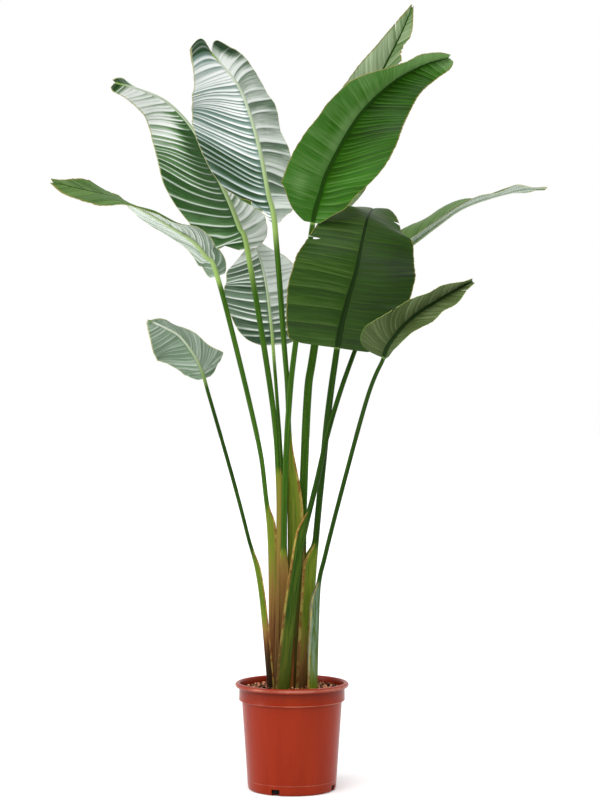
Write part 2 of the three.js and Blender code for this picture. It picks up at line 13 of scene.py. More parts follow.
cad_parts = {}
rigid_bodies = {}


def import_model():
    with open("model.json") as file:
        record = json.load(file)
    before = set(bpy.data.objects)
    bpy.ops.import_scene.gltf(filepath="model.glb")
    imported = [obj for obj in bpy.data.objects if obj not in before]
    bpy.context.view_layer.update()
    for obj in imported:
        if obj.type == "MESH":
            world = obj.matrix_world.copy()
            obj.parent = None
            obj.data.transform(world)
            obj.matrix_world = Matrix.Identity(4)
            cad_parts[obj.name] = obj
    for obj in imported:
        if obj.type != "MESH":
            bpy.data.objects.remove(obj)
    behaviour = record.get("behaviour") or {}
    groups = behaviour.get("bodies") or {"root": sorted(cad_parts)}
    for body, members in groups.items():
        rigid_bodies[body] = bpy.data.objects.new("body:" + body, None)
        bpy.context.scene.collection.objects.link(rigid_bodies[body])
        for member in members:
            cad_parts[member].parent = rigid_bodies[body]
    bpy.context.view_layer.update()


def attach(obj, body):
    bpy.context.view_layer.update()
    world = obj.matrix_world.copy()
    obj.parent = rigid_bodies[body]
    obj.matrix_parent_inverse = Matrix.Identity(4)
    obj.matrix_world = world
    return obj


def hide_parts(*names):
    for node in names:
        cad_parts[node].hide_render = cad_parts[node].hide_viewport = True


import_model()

MM = 0.001
STEM_FOOT = 150  # height where the buried stems end
SOIL_TOP = 213  # mean height of the soil's surface

# ---- the leaves ----
# petiole, midrib, stalk, turn, droop, forward, wave, width, fold, lobe and splits mean what they do in the
# part's source, and so do a sheath's top, half, depth, turn, offset, abrupt and shoulder. The rest is for
# the looks alone.
# A half: "pitch" and "relief" are the distance and depth of the pleats, "tone" runs from base to tip and
# picks the colour between the skin's low (0) and high (1) one, partly the leaf's own colour and partly
# painted sheen and shade. "band" varies it from pleat to pleat, and "shade" is painted shading across each
# pleat: a painted highlight just past each crease and painted shade towards the next. "patches" are [u,
# reach, size along, size across, change of tone]: painted shade where the change is negative and painted
# sheen where it is positive. "bites" are [u, half length, depth] torn out of the margin, "ears" are
# [place, half length, height] that stand out of it, "crown" is [x, z] by which the last rows bulge, and
# "skin" is its own underside.
# A leaf: "skins" are the upper face's and the underside's, "stem" is the stalk's, "round_base" and
# "round_tip" are the shares of the blade that its rounded ends take, "rib" widens the midrib, and the
# pale keel fades out over "keel_fade" down the stalk. "seed" sets its random draws.
# A sheath: "age" runs from its top to the soil, with 0 green, 0.5 tan and 1 dark brown, "shade" is
# painted shade that darkens its foot towards the soil, and "bloom" greys its wings.

LEAVES = {
    "leaf_upper_right": dict(
        petiole=[[-17, -12, STEM_FOOT], [-17, -12, 480], [-14, -14, 662], [-6, -22, 810], [6, -30, 926],
                 [43, -50, 1185]],
        midrib=[[59, -56, 1249], [77, -60, 1303], [136, -60, 1408], [203, -50, 1478], [270, -36, 1520],
                [337, -22, 1543]],
        stalk=[7, 5.4], turn=[5, 10, 16, 25, 30], droop=[14, 20, 20, 20, 20], forward=[0.26, 0.01],
        wave=[5, 3, 0.1], rib=1.25, round_tip=0.07, skins=["upper_bright", "under_sage"], seed=6,
        sheath=dict(top=520, half=11, depth=9, turn=10, offset=0, abrupt=0.6,
            age=[0.3, 0.45, 0.5, 0.6, 0.7], shade=0.3),
        right=dict(width=[22, 70, 97, 110, 104, 84, 60, 42, 22], fold=[36, 46, 45, 52, 62], pitch=11,
            relief=1.8, tone=[0.42, 0.2, 0.14, 0.22, 0.5], band=0.1, shade=0.25,
            patches=[[0.22, 0.6, 0.08, 0.4, 0.15], [0.96, 0.5, 0.08, 0.8, 0.6]]),
        left=dict(width=[30, 77, 98, 102, 97, 82, 60, 42, 24], fold=[20, 40, 48, 56, 60],
            ears=[[0.135, 0.05, 15]], pitch=24, relief=1.3, tone=[0.5, 0.52, 0.6, 0.8, 1.2], band=0.06,
            shade=0.1, patches=[[0.42, 0.12, 0.2, 0.22, 0.45], [0.14, 0.55, 0.05, 0.2, 0.3]]),
    ),
    "leaf_tall_left": dict(
        petiole=[[-4, 9, STEM_FOOT], [-3, 8, 482], [-7, 2, 800], [-17, -8, 948], [-36, -34, 1186]],
        midrib=[[-50, -44, 1252], [-66, -60, 1336], [-87, -80, 1412], [-113, -104, 1473],
                [-166, -165, 1530]],
        stalk=[6.4, 5.8], turn=[190, 198, 198, 190, 180], droop=[10, 20, 20, 20, 20], forward=[0.34, -0.1],
        wave=[5, 4, 0.3], skins=["upper_common", "under_teal"], seed=1,
        sheath=dict(top=780, half=10, depth=38, turn=100, offset=1, abrupt=0.75, shoulder=200,
            age=[0.18, 0.18, 0.2, 0.25, 0.4], shade=0.3),
        right=dict(width=[6, 64, 106, 126, 131, 121, 96, 62, 25], fold=[20, 50, 50, 40, 8], lobe=0.09,
            crown=[4, 23], splits=[[0.71, 0.75, 8]], bites=[[0.05, 0.052, 0.45]], pitch=11, relief=2.2,
            tone=[0.35, 0.25, 0.42, 0.48, 0.52, 0.8, 0.8], band=0.2, shade=0.8,
            patches=[[0.2, 0.6, 0.08, 0.6, -0.5], [0.06, 0.8, 0.05, 0.3, 0.4], [1.0, 0.6, 0.055, 0.7, -2.6]]),
        left=dict(width=[24, 72, 103, 124, 118, 98, 72, 44, 24], fold=[20, 48, 52, 54, 54, 40, 8],
            lobe=0.02, bites=[[0.03, 0.03, 0.3]], crown=[-3, 9], pitch=22, relief=2.4,
            tone=[0.75, 0.7, 0.62, 0.6, 0.75, 0.95, 0.95], band=0.22, shade=0.6, skin="under_common",
            patches=[[1.0, 1.0, 0.13, 0.45, -3.2]]),
    ),
    "leaf_back_centre": dict(
        petiole=[[-19, 34, STEM_FOOT], [-19, 38, 480], [-22, 46, 672], [-32, 58, 820], [-41, 72, 936]],
        midrib=[[-44, 78, 972], [-50, 86, 1026], [-56, 94, 1069], [-65, 104, 1112], [-84, 146, 1170]],
        stalk=[4.6, 3.6], turn=[185, 188, 188, 185], droop=[10, 14, 14, 14], forward=[0.2, 0.16],
        wave=[4, 3, 0.6], skins=["upper_common", "under_common"], seed=5,
        sheath=dict(top=420, half=7, depth=7, turn=185, offset=0, abrupt=0.5,
            age=[0.1, 0.2, 0.3, 0.4, 0.5], shade=0.5),
        right=dict(width=[35, 65, 83, 94, 100, 96, 88, 71, 6], fold=[20, 34, 34, 30], pitch=14,
            relief=2.6, tone=[0.1, 0.2, 0.35, 0.5, 0.6], band=0.25, shade=0.8),
        left=dict(width=[45, 77, 95, 106, 109, 98, 75, 48, 6], fold=[20, 34, 34, 30], pitch=14,
            relief=2.4, tone=[0.4, 0.5, 0.9, 1.1, 1.1], band=0.15, shade=0.7),
    ),
    "leaf_top_right": dict(
        petiole=[[8, 26, STEM_FOOT], [19, 27, 480], [32, 36, 810], [46, 46, 923], [93, 80, 1218]],
        midrib=[[111, 90, 1294], [130, 100, 1376], [161, 110, 1463], [201, 115, 1546], [239, 114, 1622],
                [263, 108, 1680]],
        stalk=[9.8, 7.8], turn=[-10, -15, -20, -20, -20], droop=[10, 14, 14, 14, 14], forward=[0.2, 0.26],
        wave=[4, 3, 0.2], skins=["upper_sage", "under_sage"], seed=8,
        sheath=dict(top=560, half=12, depth=10, turn=-10, offset=0, abrupt=0.5,
            age=[0, 0.05, 0.1, 0.15, 0.3], shade=0.3),
        right=dict(width=[25, 58, 72, 78, 78, 70, 47, 26, 3], fold=[20, 36, 38, 38, 30],
            splits=[[0.66, 0.4, 10]], bites=[[0.73, 0.05, 0.28]], pitch=16, relief=1.4,
            tone=[0.6, 0.6, 0.6, 0.6, 0.5], band=0.12, shade=0.15),
        left=dict(width=[22, 50, 65, 71, 69, 56, 41, 24, 3], fold=[20, 42, 50, 50, 40],
            splits=[[0.83, 0.55, 7]], pitch=18, relief=1.4, tone=[1.0, 1.0, 0.95, 0.8, 0.6], band=0.15,
            shade=0.15),
    ),
    "leaf_front": dict(
        petiole=[[27, 3, STEM_FOOT], [44, 0, 461], [68, -20, 716], [81, -40, 834], [94, -60, 925]],
        midrib=[[103, -70, 976], [117, -78, 1032], [133, -78, 1087], [145, -64, 1144], [158, -36, 1200],
                [174, 48, 1232]],
        stalk=[9.5, 6.4], turn=[5, 5, 5, -4, -24], droop=[8, 14, 14, 14, 10], forward=[0.09, -0.04],
        wave=[4, 4, 0.5], rib=1.3, round_base=0.035, stem="stem_dark", skins=["upper_dark", "under_sage"],
        seed=7,
        sheath=dict(top=530, half=12, depth=34, turn=-80, offset=1, abrupt=0.9,
            age=[0.18, 0.15, 0.2, 0.35, 0.6], shade=0.4),
        right=dict(width=[86, 111, 122, 124, 120, 112, 94, 66, 22], fold=[5, 14, 14, 8, -4, -6, 0],
            splits=[[0.88, 0.75, 5]], lobe=0.03, bites=[[0.03, 0.02, 0.12]], pitch=12, relief=0.9,
            tone=[0.3, 0.28, 0.28, 0.45, 0.85], band=0.08, shade=0.08,
            patches=[[0.5, 0.75, 0.14, 0.3, -0.2]]),
        left=dict(width=[98, 118, 128, 131, 120, 102, 80, 58, 30], fold=[5, 14, 14, 8, 0, 0, 0],
            splits=[[0.58, 0.75, 12]], lobe=0.03, pitch=13, relief=1.0, tone=[0.4, 0.5, 0.45, 0.5, 0.85],
            band=0.14, shade=0.2),
    ),
    "leaf_low_left": dict(
        petiole=[[-41, -18, STEM_FOOT], [-66, -22, 421], [-93, -26, 539], [-126, -32, 664],
                 [-183, -46, 863]],
        midrib=[[-190, -48, 884], [-202, -50, 910], [-233, -56, 952], [-268, -66, 973], [-300, -80, 987]],
        stalk=[5.2, 3.6], turn=[200, 202, 202, 195], droop=[10, 20, 20, 10], forward=[0.36, 0.3],
        wave=[4, 2, 0.4], keel_fade=20, stem="stem_dark", skins=["upper_common", "under_sage"], seed=4,
        sheath=dict(top=520, half=8, depth=12, turn=110, offset=1, abrupt=0.7,
            age=[0.12, 0.12, 0.2, 0.8, 1], shade=0.2),
        right=dict(width=[20, 34, 44, 53, 65, 68, 59, 35, 3], fold=[35, 38, 38, 30], pitch=9,
            relief=0.45, tone=[0.45, 0.4, 0.4, 0.45], band=0.12, shade=0.15),
        left=dict(width=[34, 50, 52, 52, 54, 48, 40, 25, 3], fold=[35, 40, 50, 60, 60],
            ears=[[0.2, 0.07, 34]], pitch=9, relief=0.45, tone=[0.4, 0.45, 0.45, 0.4], band=0.12, shade=0.15),
    ),
    "leaf_far_left": dict(
        petiole=[[-44, 13, STEM_FOOT], [-45, 6, 483], [-55, -4, 622], [-76, -10, 758], [-155, -30, 1076]],
        midrib=[[-180, -36, 1121], [-207, -44, 1154], [-250, -56, 1182], [-299, -74, 1210],
                [-360, -90, 1239], [-429, -100, 1255], [-498, -110, 1271]],
        stalk=[5.8, 5.2], turn=[175, 160, 115, 100, 78, 56, 46], droop=[10, 10, 10, 10, 10],
        forward=[0.4, 0.4], wave=[3, 3, 0.2], keel_fade=25, skins=["upper_common", "under_sage"], seed=3,
        sheath=dict(top=612, half=10, depth=20, turn=105, offset=1, abrupt=0.8,
            age=[0.2, 0.22, 0.42, 0.6, 0.65], shade=0.1),
        right=dict(width=[40, 40, 40, 48, 60, 66, 57, 38, 6], fold=[45, 45, 8, 2, 0, 0, 4], pitch=13,
            relief=1.3, tone=[0.35, 0.75, 0.75, 0.68, 0.7], band=0.15, shade=0.35),
        left=dict(width=[34, 34, 32, 44, 60, 68, 57, 38, 6], fold=[45, 45, 4, 0, 0, 2, 4], pitch=13,
            relief=1.3, tone=[0.4, 0.75, 0.75, 0.72, 0.7], band=0.15, shade=0.35),
    ),
    "leaf_upper_left": dict(
        petiole=[[-31, -3, STEM_FOOT], [-27, -2, 482], [-28, 0, 652], [-42, 6, 821], [-95, 50, 1138]],
        midrib=[[-113, 60, 1190], [-138, 66, 1253], [-172, 70, 1322], [-213, 62, 1401], [-266, 40, 1456],
                [-322, 4, 1478], [-377, -40, 1487]],
        stalk=[7, 5.8], turn=[190, 198, 198, 190, 180], droop=[10, 20, 20, 20, 20], forward=[0.3, 0.2],
        wave=[5, 4, 0.1], round_tip=0.05, keel_fade=100, skins=["upper_common", "under_green"], seed=2,
        sheath=dict(top=690, half=12, depth=19, turn=115, offset=1, abrupt=0.7,
            age=[0.25, 0.33, 0.4, 0.5, 0.6], shade=0.2),
        right=dict(width=[24, 84, 108, 118, 112, 92, 60, 32, 17], fold=[20, 50, 50, 45, 30], pitch=14,
            relief=2.6, tone=[0.0, 0.0, 0.2, 0.7, 0.95, 1.0, 1.0], band=0.24, shade=0.75,
            patches=[[0.48, 0.1, 0.16, 0.3, -1.6], [1.0, 0.5, 0.045, 1.5, -2.2]]),
        left=dict(width=[35, 86, 113, 125, 115, 96, 64, 34, 10], fold=[20, 46, 62, 84, 92, 86, 50],
            pitch=15, relief=2.2, tone=[0.85, 0.75, 0.65, 0.8, 0.9], band=0.2, shade=0.6,
            patches=[[1.0, 0.5, 0.1, 1.5, -2.2]]),
    ),
    "leaf_low_right": dict(
        petiole=[[46, -12, STEM_FOOT], [51, -18, 340], [56, -22, 435], [68, -30, 490], [95, -48, 598],
                 [154, -105, 820], [186, -138, 904]],
        midrib=[[195, -146, 928], [211, -156, 952], [234, -168, 979], [269, -180, 1006], [333, -196, 1044],
                [368, -202, 1062]],
        stalk=[6.6, 4], turn=[-25, -20, -16, -14, -12], droop=[10, 14, 14, 14, 14], forward=[0.3, 0.25],
        wave=[3, 3, 0.7], rib=1.6, stem="stem_dark", skins=["upper_olive", "under_sage"], seed=10,
        sheath=dict(top=450, half=11, depth=22, turn=-85, offset=1, abrupt=0.85,
            age=[0.04, 0.05, 0.06, 0.1, 0.2], bloom=0.7),
        right=dict(width=[7, 18, 33, 44, 52, 51, 43, 29, 3], fold=[20, 45, 50, 50, 45],
            splits=[[0.86, 0.3, 6]], pitch=12, relief=0.59, tone=[0.38, 0.47, 0.52, 0.55], band=0.1,
            shade=0.12),
        left=dict(width=[50, 62, 60, 52, 47, 44, 37, 24, 3], fold=[20, 55, 75, 80, 80],
            splits=[[0.22, 0.8, 6]], pitch=12, relief=0.59, tone=[0.28, 0.58, 0.68, 0.65], band=0.1,
            shade=0.12),
    ),
    "leaf_far_right": dict(
        petiole=[[-18, -32, STEM_FOOT], [0, -32, 356], [15, -33, 483], [25, -36, 543], [52, -44, 654],
                 [75, -46, 754], [102, -36, 843], [132, -14, 926], [168, 12, 1022], [203, 36, 1108]],
        midrib=[[225, 43, 1138], [257, 48, 1157], [307, 52, 1194], [363, 64, 1233], [427, 74, 1257],
                [494, 84, 1273], [552, 92, 1277]],
        stalk=[8, 5.2], turn=[-92, -92, -90, -90, -92, -94, -94], droop=[14, 20, 26, 24, 12],
        forward=[0.4, 0.4], wave=[3, 3, 0.4], stem="stem_dark", skins=["upper_common", "under_smooth"],
        seed=9,
        sheath=dict(top=600, half=11, depth=28, turn=-100, offset=1, abrupt=0.65,
            age=[0.04, 0.05, 0.06, 0.12, 0.2], shade=0.62),
        right=dict(width=[30, 54, 67, 75, 75, 66, 53, 34, 3], fold=[16, 17, 16, 14, 14, 15, 8],
            pitch=14, relief=0.3, tone=[0.5, 0.5, 0.6, 0.68, 0.62], band=0.1, shade=0.15),
        left=dict(width=[30, 54, 67, 75, 75, 66, 53, 34, 3], fold=[50, 56, 38, 32, 24, 14, 8], pitch=14,
            relief=0.3, tone=[0.85, 0.9, 0.8, 0.7, 0.62], band=0.1, shade=0.15),
    ),
}

BLADE = {
    "first": 0.012, "last": 0.99,  # shares of the length where the blade starts and stops
    "narrowest": 3, "round_base": 0.07, "thickness": 0.8,
    "station": 2.2,  # distance between rows of the mesh
    "columns": 20,  # across each half, before the two that follow the margin
    "margin": 1.1,  # width of the pale line along the edge
    "waver": 0.012, "scallop": 0.8,  # how the outline strays: a share of the width, and mm at each pleat
    "ruffle": 1.6, "ruffle_length": 13,
    "calm": [0.84, 0.98],  # shares of the length between which pleats and ruffles die down
    "tip_start": 0.85,  # share of the length where a lobe and a crown start
}
# light is the light line (partly pale vein, partly painted highlight), dark the painted shade below each
# crease, and the third the painted highlight just past it
CREASE = {"light": 0.8, "dark": 2.2, "painted_highlight": 2.6}  # widths of the lines beside each crease
MIDRIB = {"tip_radius": 1.6, "end": 0.985, "sink": 0.5, "groove": 0.5, "open": 0.85, "pitch": 6}
STALK = {"arc_steps": 12, "edge": 0.6, "top_bulge": 0.8, "sheath_hollow": 0.4, "pitch": 9, "groove": 0.3,
         "shoulder": 60, "keel_fade": 60, "brown_over": 40, "keel_tone": 0.55}
UPPER, UNDER, EDGE, STEM, OTHER_UNDER = range(5)  # a leaf's material slots

# ---- numbers ----


def smooth(t):
    """An eased step from 0 at t = 0 to 1 at t = 1."""
    t = np.clip(t, 0, 1)
    return t * t * (3 - 2 * t)


def padded(values):
    """The values with one more at each end, in line with the last two."""
    v = np.array(values, float)
    return np.concatenate([[2 * v[0] - v[1]], v, [2 * v[-1] - v[-2]]])


def curve(knots, share):
    """The smooth curve through padded knots, at shares 0..1 of its spans."""
    spans = len(knots) - 3
    x = np.clip(share, 0, 1) * spans
    i = np.minimum(x.astype(int), spans - 1)
    t = (x - i).reshape(x.shape + (1,) * (knots.ndim - 1))
    a, b, c, d = (knots[i + k] for k in range(4))
    return 0.5 * (2 * b + (c - a) * t + (2 * a - 5 * b + 4 * c - d) * t**2 + (3 * b - a - 3 * c + d) * t**3)


def spread(values, u):
    """Values of a list that is spread evenly over 0..1 and blended smoothly, at shares u."""
    return curve(padded(values), u)


def wobble(x, seed, octaves=4):
    """A smooth, irregular curve between about -1 and 1, from a few sines."""
    rng = np.random.default_rng(seed)
    total = 0
    for octave in range(octaves):
        rate = 2**octave * rng.uniform(0.8, 1.25)
        total = total + np.sin(rate * x + rng.uniform(0, 2 * math.pi)) / 1.6**octave
    return total / 2


def unit(v):
    return v / np.maximum(np.linalg.norm(v, axis=-1, keepdims=True), 1e-9)


class Route:
    """A smooth curve through points, measured along its length."""

    STEPS = 800

    def __init__(self, points):
        self.knots = padded(points)
        self.shares = np.linspace(0, 1, self.STEPS + 1)
        steps = np.linalg.norm(np.diff(curve(self.knots, self.shares), axis=0), axis=1)
        self.lengths = np.concatenate([[0], np.cumsum(steps)])
        self.length = self.lengths[-1]

    def at(self, s):
        return curve(self.knots, np.interp(s, self.lengths, self.shares))

    def tangent(self, s, reach=12):
        return unit(self.at(s + reach) - self.at(s - reach))

    def length_at(self, knot):
        return self.lengths[round(self.STEPS * knot / (len(self.knots) - 3))]

    def attitude(self, s, turn):
        """Upper-face normal and sideways direction."""
        tangent = self.tangent(s)
        front = unit(np.array((0, -1, 0)) + tangent * tangent[..., 1:2])
        across = np.cross(tangent, front)
        a = np.radians(turn)[..., None]
        return np.cos(a) * front + np.sin(a) * across, np.cos(a) * across - np.sin(a) * front


# ---- meshes ----


def show(name, data):
    """An object with this data, in the scene."""
    item = bpy.data.objects.new(name, data)
    bpy.context.scene.collection.objects.link(item)
    return item


class Form:
    """Closed surfaces gathered into one mesh, with marks on the vertices for the materials."""

    def __init__(self):
        self.co, self.faces, self.slots, self.tint, self.place = [], [], [], [], []
        self.count = 0

    def add(self, co, faces, slots, tint, place):
        """co in mm, faces as lists of indices, slots one per face, tint and place one row per vertex."""
        self.co.append(co)
        self.faces += [[i + self.count for i in face] for face in faces]
        self.slots.append(np.broadcast_to(slots, len(faces)))
        self.tint.append(np.broadcast_to(tint, (len(co), 4)))
        self.place.append(np.broadcast_to(place, (len(co), 3)))
        self.count += len(co)

    def build(self, name, materials, replaces, sharp=60):
        mesh = bpy.data.meshes.new(name)
        mesh.from_pydata((np.vstack(self.co) * MM).tolist(), [], self.faces)
        for material in materials:
            mesh.materials.append(material)
        mesh.polygons.foreach_set("material_index", np.concatenate(self.slots).astype(np.int32))
        for mark, kind, field, rows in (("tint", "FLOAT_COLOR", "color", self.tint),
                                        ("place", "FLOAT_VECTOR", "vector", self.place)):
            values = np.vstack(rows).astype(np.float32).ravel()
            mesh.attributes.new(mark, kind, "POINT").data.foreach_set(field, values)
        mesh.polygons.foreach_set("use_smooth", [True] * len(mesh.polygons))
        mesh.set_sharp_from_angle(angle=math.radians(sharp))
        mesh.update()
        piece = show(name, mesh)
        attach(piece, "root")
        if replaces:
            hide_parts(replaces)


def thicken(co, quads, thickness):
    """A sheet becomes a closed plate. Returns points, faces, and each face's slot."""
    a, b, c, d = (co[quads[:, k]] for k in range(4))
    face_normals = np.cross(c - a, d - b)
    normals = np.zeros_like(co)
    for k in range(4):
        np.add.at(normals, quads[:, k], face_normals)
    shift = unit(normals) * thickness / 2
    count = len(co)
    edges = np.vstack([quads[:, [k, (k + 1) % 4]] for k in range(4)])
    key = edges[:, 0] * count + edges[:, 1]
    free = edges[~np.isin(edges[:, 1] * count + edges[:, 0], key)]
    walls = np.column_stack([free[:, 0], free[:, 0] + count, free[:, 1] + count, free[:, 1]])
    faces = np.vstack([quads, quads[:, ::-1] + count, walls])
    slots = np.repeat([UPPER, UNDER, EDGE], [len(quads), len(quads), len(walls)])
    return np.vstack([co + shift, co - shift]), faces.tolist(), slots


def tube(rings):
    """Points and faces of a closed tube through rings. Its caps run between the two arcs of the section."""
    count, sides = rings.shape[:2]
    j = np.arange(sides // 2 - 1)
    cap = np.column_stack([j, sides - 1 - j, sides - 2 - j, j + 1])
    body = ring_quads(count, sides).reshape(-1, 4)
    return rings.reshape(-1, 3), np.vstack([body, cap, cap[:, ::-1] + (count - 1) * sides]).tolist()


def ring_quads(rows, sides):
    """Quads between rings of points, one row of quads for each pair of rings."""
    i, j = np.meshgrid(np.arange(rows - 1), np.arange(sides), indexing="ij")
    after = (j + 1) % sides
    return np.stack([i * sides + j, i * sides + after, (i + 1) * sides + after, (i + 1) * sides + j], -1)


def sections(centre, side, normal, x, y):
    """Rings of points: the sections x, y laid out at each centre."""
    return centre[:, None] + side[:, None] * x[..., None] + normal[:, None] * y[..., None]


# ---- leaf blades ----


def blade_rows(half, length, seed):
    """Rows of a half blade: start on the midrib, place in a pleat, and the pleat's depth, tone and width."""
    rng = np.random.default_rng(seed)
    rows = []
    s = BLADE["first"] * length
    while s < BLADE["last"] * length:
        gap = half["pitch"] * rng.uniform(0.6, 1.5)
        depth, tone = rng.uniform(0.45, 1), rng.uniform(-1, 1)
        steps = max(int(round(gap / BLADE["station"])), 3)
        rows += [[s + gap * k / steps, k / steps, depth, tone, gap] for k in range(steps)]
        s += gap
    rows = np.array(rows)
    return rows[rows[:, 0] <= BLADE["last"] * length]


def split_rows(rows, half, length):
    """Doubles the row at each split. Returns the rows, and for each its side, depth and gape."""
    marks = np.zeros((len(rows), 3))
    for place, depth, gap in half.get("splits", []):
        i = int(np.argmin(np.abs(rows[:, 0] - place * length) + 1e3 * (rows[:, 1] > 0)))
        rows = np.insert(rows, i, rows[i], axis=0)
        marks = np.insert(marks, i, [-1, depth, gap], axis=0)
        marks[i + 1] = [1, depth, gap]
    return rows, marks


class HalfBlade:
    """One half of a blade: rows of points along its veins, from the midrib to the margin.

    A point's u is the share of the blade's length where its vein starts, v the share where the point
    itself is, and reach the share of the way out to the margin. A row's t is its place in its pleat.
    """

    def __init__(self, leaf, route, base, hand):
        self.leaf, self.route, self.base, self.hand = leaf, route, base, hand
        self.half = leaf["right" if hand > 0 else "left"]
        self.seed = leaf["seed"] * 10 + hand
        self.length = route.length - base
        rows, self.marks = split_rows(blade_rows(self.half, self.length, self.seed), self.half, self.length)
        start, self.t, self.depth, self.tone, self.gap = rows.T[..., None]
        self.u_row = start / self.length
        self.rounding = self.rounded_ends()
        self.width = self.widths()
        self.line = BLADE["margin"] / np.maximum(self.width, 4 * BLADE["margin"])
        share = np.linspace(0, 1, BLADE["columns"])
        share = 0.65 * share + 0.35 * (1 - np.cos(math.pi * share)) / 2
        self.reach = np.hstack([share * (1 - 2 * self.line), 1 - self.line, np.ones_like(self.line)])
        self.u = self.u_row + self.gape()
        self.v = self.u + self.sweep(self.u, self.reach)
        calm_from, calm_to = BLADE["calm"]
        self.lively = 1 - smooth((self.v - calm_from) / (calm_to - calm_from))
        outer = smooth((self.reach - 0.5) / 0.5)
        self.firm = smooth(self.reach / 0.1) * (1 - 0.65 * outer) * (0.3 + 0.7 * self.lively)

    def rounded_ends(self):
        """The factor by which the rounded base and tip narrow each row."""
        ends = [self.u_row / self.leaf.get("round_base", BLADE["round_base"])]
        if "round_tip" in self.leaf:
            ends.append((1 - self.u_row) / self.leaf["round_tip"])
        return math.prod(np.sqrt(1 - np.clip(1 - end, 0, 1) ** 2) for end in ends)

    def sweep(self, u, reach=1.0):
        """How far a vein has run ahead of its start on the midrib, as a share of the blade's length."""
        lobe = self.half.get("lobe", 0) * near_tip(u)
        ahead = self.leaf["forward"][0 if self.hand > 0 else 1]
        return ahead * smooth(u / 0.3) * np.clip(1 - u, 0, 1) ** 0.8 * reach**1.4 + lobe * reach**0.6

    def widths(self):
        """The reach of each row in mm, with the scallops, bites and ears of the margin."""
        u, half = self.u_row, self.half
        end = u + self.sweep(u)
        scallop = np.sin(math.pi * self.t) * self.depth
        width = spread(half["width"], end / (1 + half.get("lobe", 0))) * self.rounding
        width = width * (1 + BLADE["waver"] * wobble(u * 24, self.seed + 3)) + BLADE["scallop"] * scallop
        for at, span, deep in half.get("bites", []):
            ragged = 1 + 0.35 * wobble(u * self.length * 0.55, self.seed + 4)
            width *= 1 - deep * ragged * np.exp(-(((u - at) / span) ** 4))
        for at, span, out in half.get("ears", []):
            width = width + out * np.exp(-(np.abs((end - at) / span) ** 1.5))
        return np.maximum(width, BLADE["narrowest"])

    def gape(self):
        """How far the sides of a split stand apart, as shares of the blade's length."""
        side, deep, gap = self.marks.T[..., None]
        torn = (side != 0) & (self.reach > deep)
        return torn * side * gap * (self.reach - deep) / (1 - deep + 1e-9) / 2 / self.length

    def lift(self):
        """Height above the blade's mean face: pleats, long waves and the ruffled margin."""
        height, count, phase = self.leaf["wave"]
        wave = height * np.sin(2 * math.pi * (count * self.u + phase)) * self.reach**2 * self.rounding
        curls = wobble(self.u * self.length / BLADE["ruffle_length"], self.seed + 5)
        ruffle = BLADE["ruffle"] * min(1, self.half["relief"])
        wave = wave + ruffle * curls * self.reach**6 * self.rounding * self.lively
        arch = np.sin(math.pi * self.t**0.8) ** 0.8 * self.depth - 0.45
        slim = np.minimum(1, self.gap / self.half["pitch"])
        return self.half["relief"] * (arch * slim) * self.firm + wave

    def grid(self):
        """The points of the mean sheet, row by row."""
        leaf, half, reach, v = self.leaf, self.half, self.reach, self.v
        point, normal, side = blade_frame(self.route, self.base + v * self.length, spread(leaf["turn"], v))
        side = side * self.hand
        fold, droop = spread(half["fold"], v), spread(leaf["droop"], v)
        rise = np.radians(fold - droop * reach / 2)[..., None]
        tilt = np.radians(fold - droop * reach)[..., None]
        start = np.minimum(MIDRIB["open"] * rib_radius(leaf, v), 0.5 * self.width)
        across = (self.width - start) * reach
        out = side * np.cos(rise) + normal * np.sin(rise)
        up = normal * np.cos(tilt) - side * np.sin(tilt)
        grid = point + side * start[..., None] + out * across[..., None] + up * self.lift()[..., None]
        if "crown" in half:
            raised = np.sin(math.pi * reach) ** 0.8 * smooth(near_tip(self.u))
            grid = grid + raised[..., None] * (half["crown"][0], 0, half["crown"][1])
        return grid

    def quads(self):
        """Faces between the rows. The two rows of a split share their points up to where it opens."""
        marks = self.marks
        number = np.arange(self.reach.size).reshape(self.reach.shape)
        for i in np.nonzero(marks[:, 0] == 1)[0]:
            closed = self.reach[i] <= marks[i, 1]
            number[i, closed] = number[i - 1, closed]
        below, above = number[:-1], number[1:]
        keep = ~((marks[:-1, 0] == -1) & (marks[1:, 0] == 1))
        corners = [below[:, :-1], below[:, 1:], above[:, 1:], above[:, :-1]]
        return np.stack(corners[::self.hand], -1)[keep].reshape(-1, 4)

    def tint(self):
        """For the skin: tone (the leaf's own colour with painted sheen and shade), painted shade below each
        crease, pale edge, and a light line that is partly pale vein and partly painted highlight.
        """
        half, t, reach = self.half, self.t, self.reach
        # a painted highlight just past each crease, and painted shading across the pleat that falls off
        # towards the next crease
        painted_highlight = np.exp(-((t * self.gap / CREASE["painted_highlight"]) ** 2))
        shading = (0.7 * (0.5 - t) + 0.8 * painted_highlight) * (0.4 + 0.6 * self.depth)
        tones = spread(half["tone"], self.u_row) + half["band"] * self.tone
        tones = tones + half["shade"] * shading * (0.3 + 0.7 * self.firm)
        # the light line along each crease is partly pale vein and partly painted highlight
        light = np.exp(-((np.minimum(t, 1 - t) * self.gap / CREASE["light"]) ** 2)) * smooth(reach / 0.08)
        # patches paint shade where their change is negative and sheen where it is positive; painted shade
        # also dims the light line
        for at, out_at, along, wide, change in half.get("patches", []):
            near = np.exp(-(((self.u - at) / along) ** 2) - ((reach - out_at) / wide) ** 2)
            tones = tones + change * near
            light = light * (1 - np.clip(-change, 0, 1) * near)
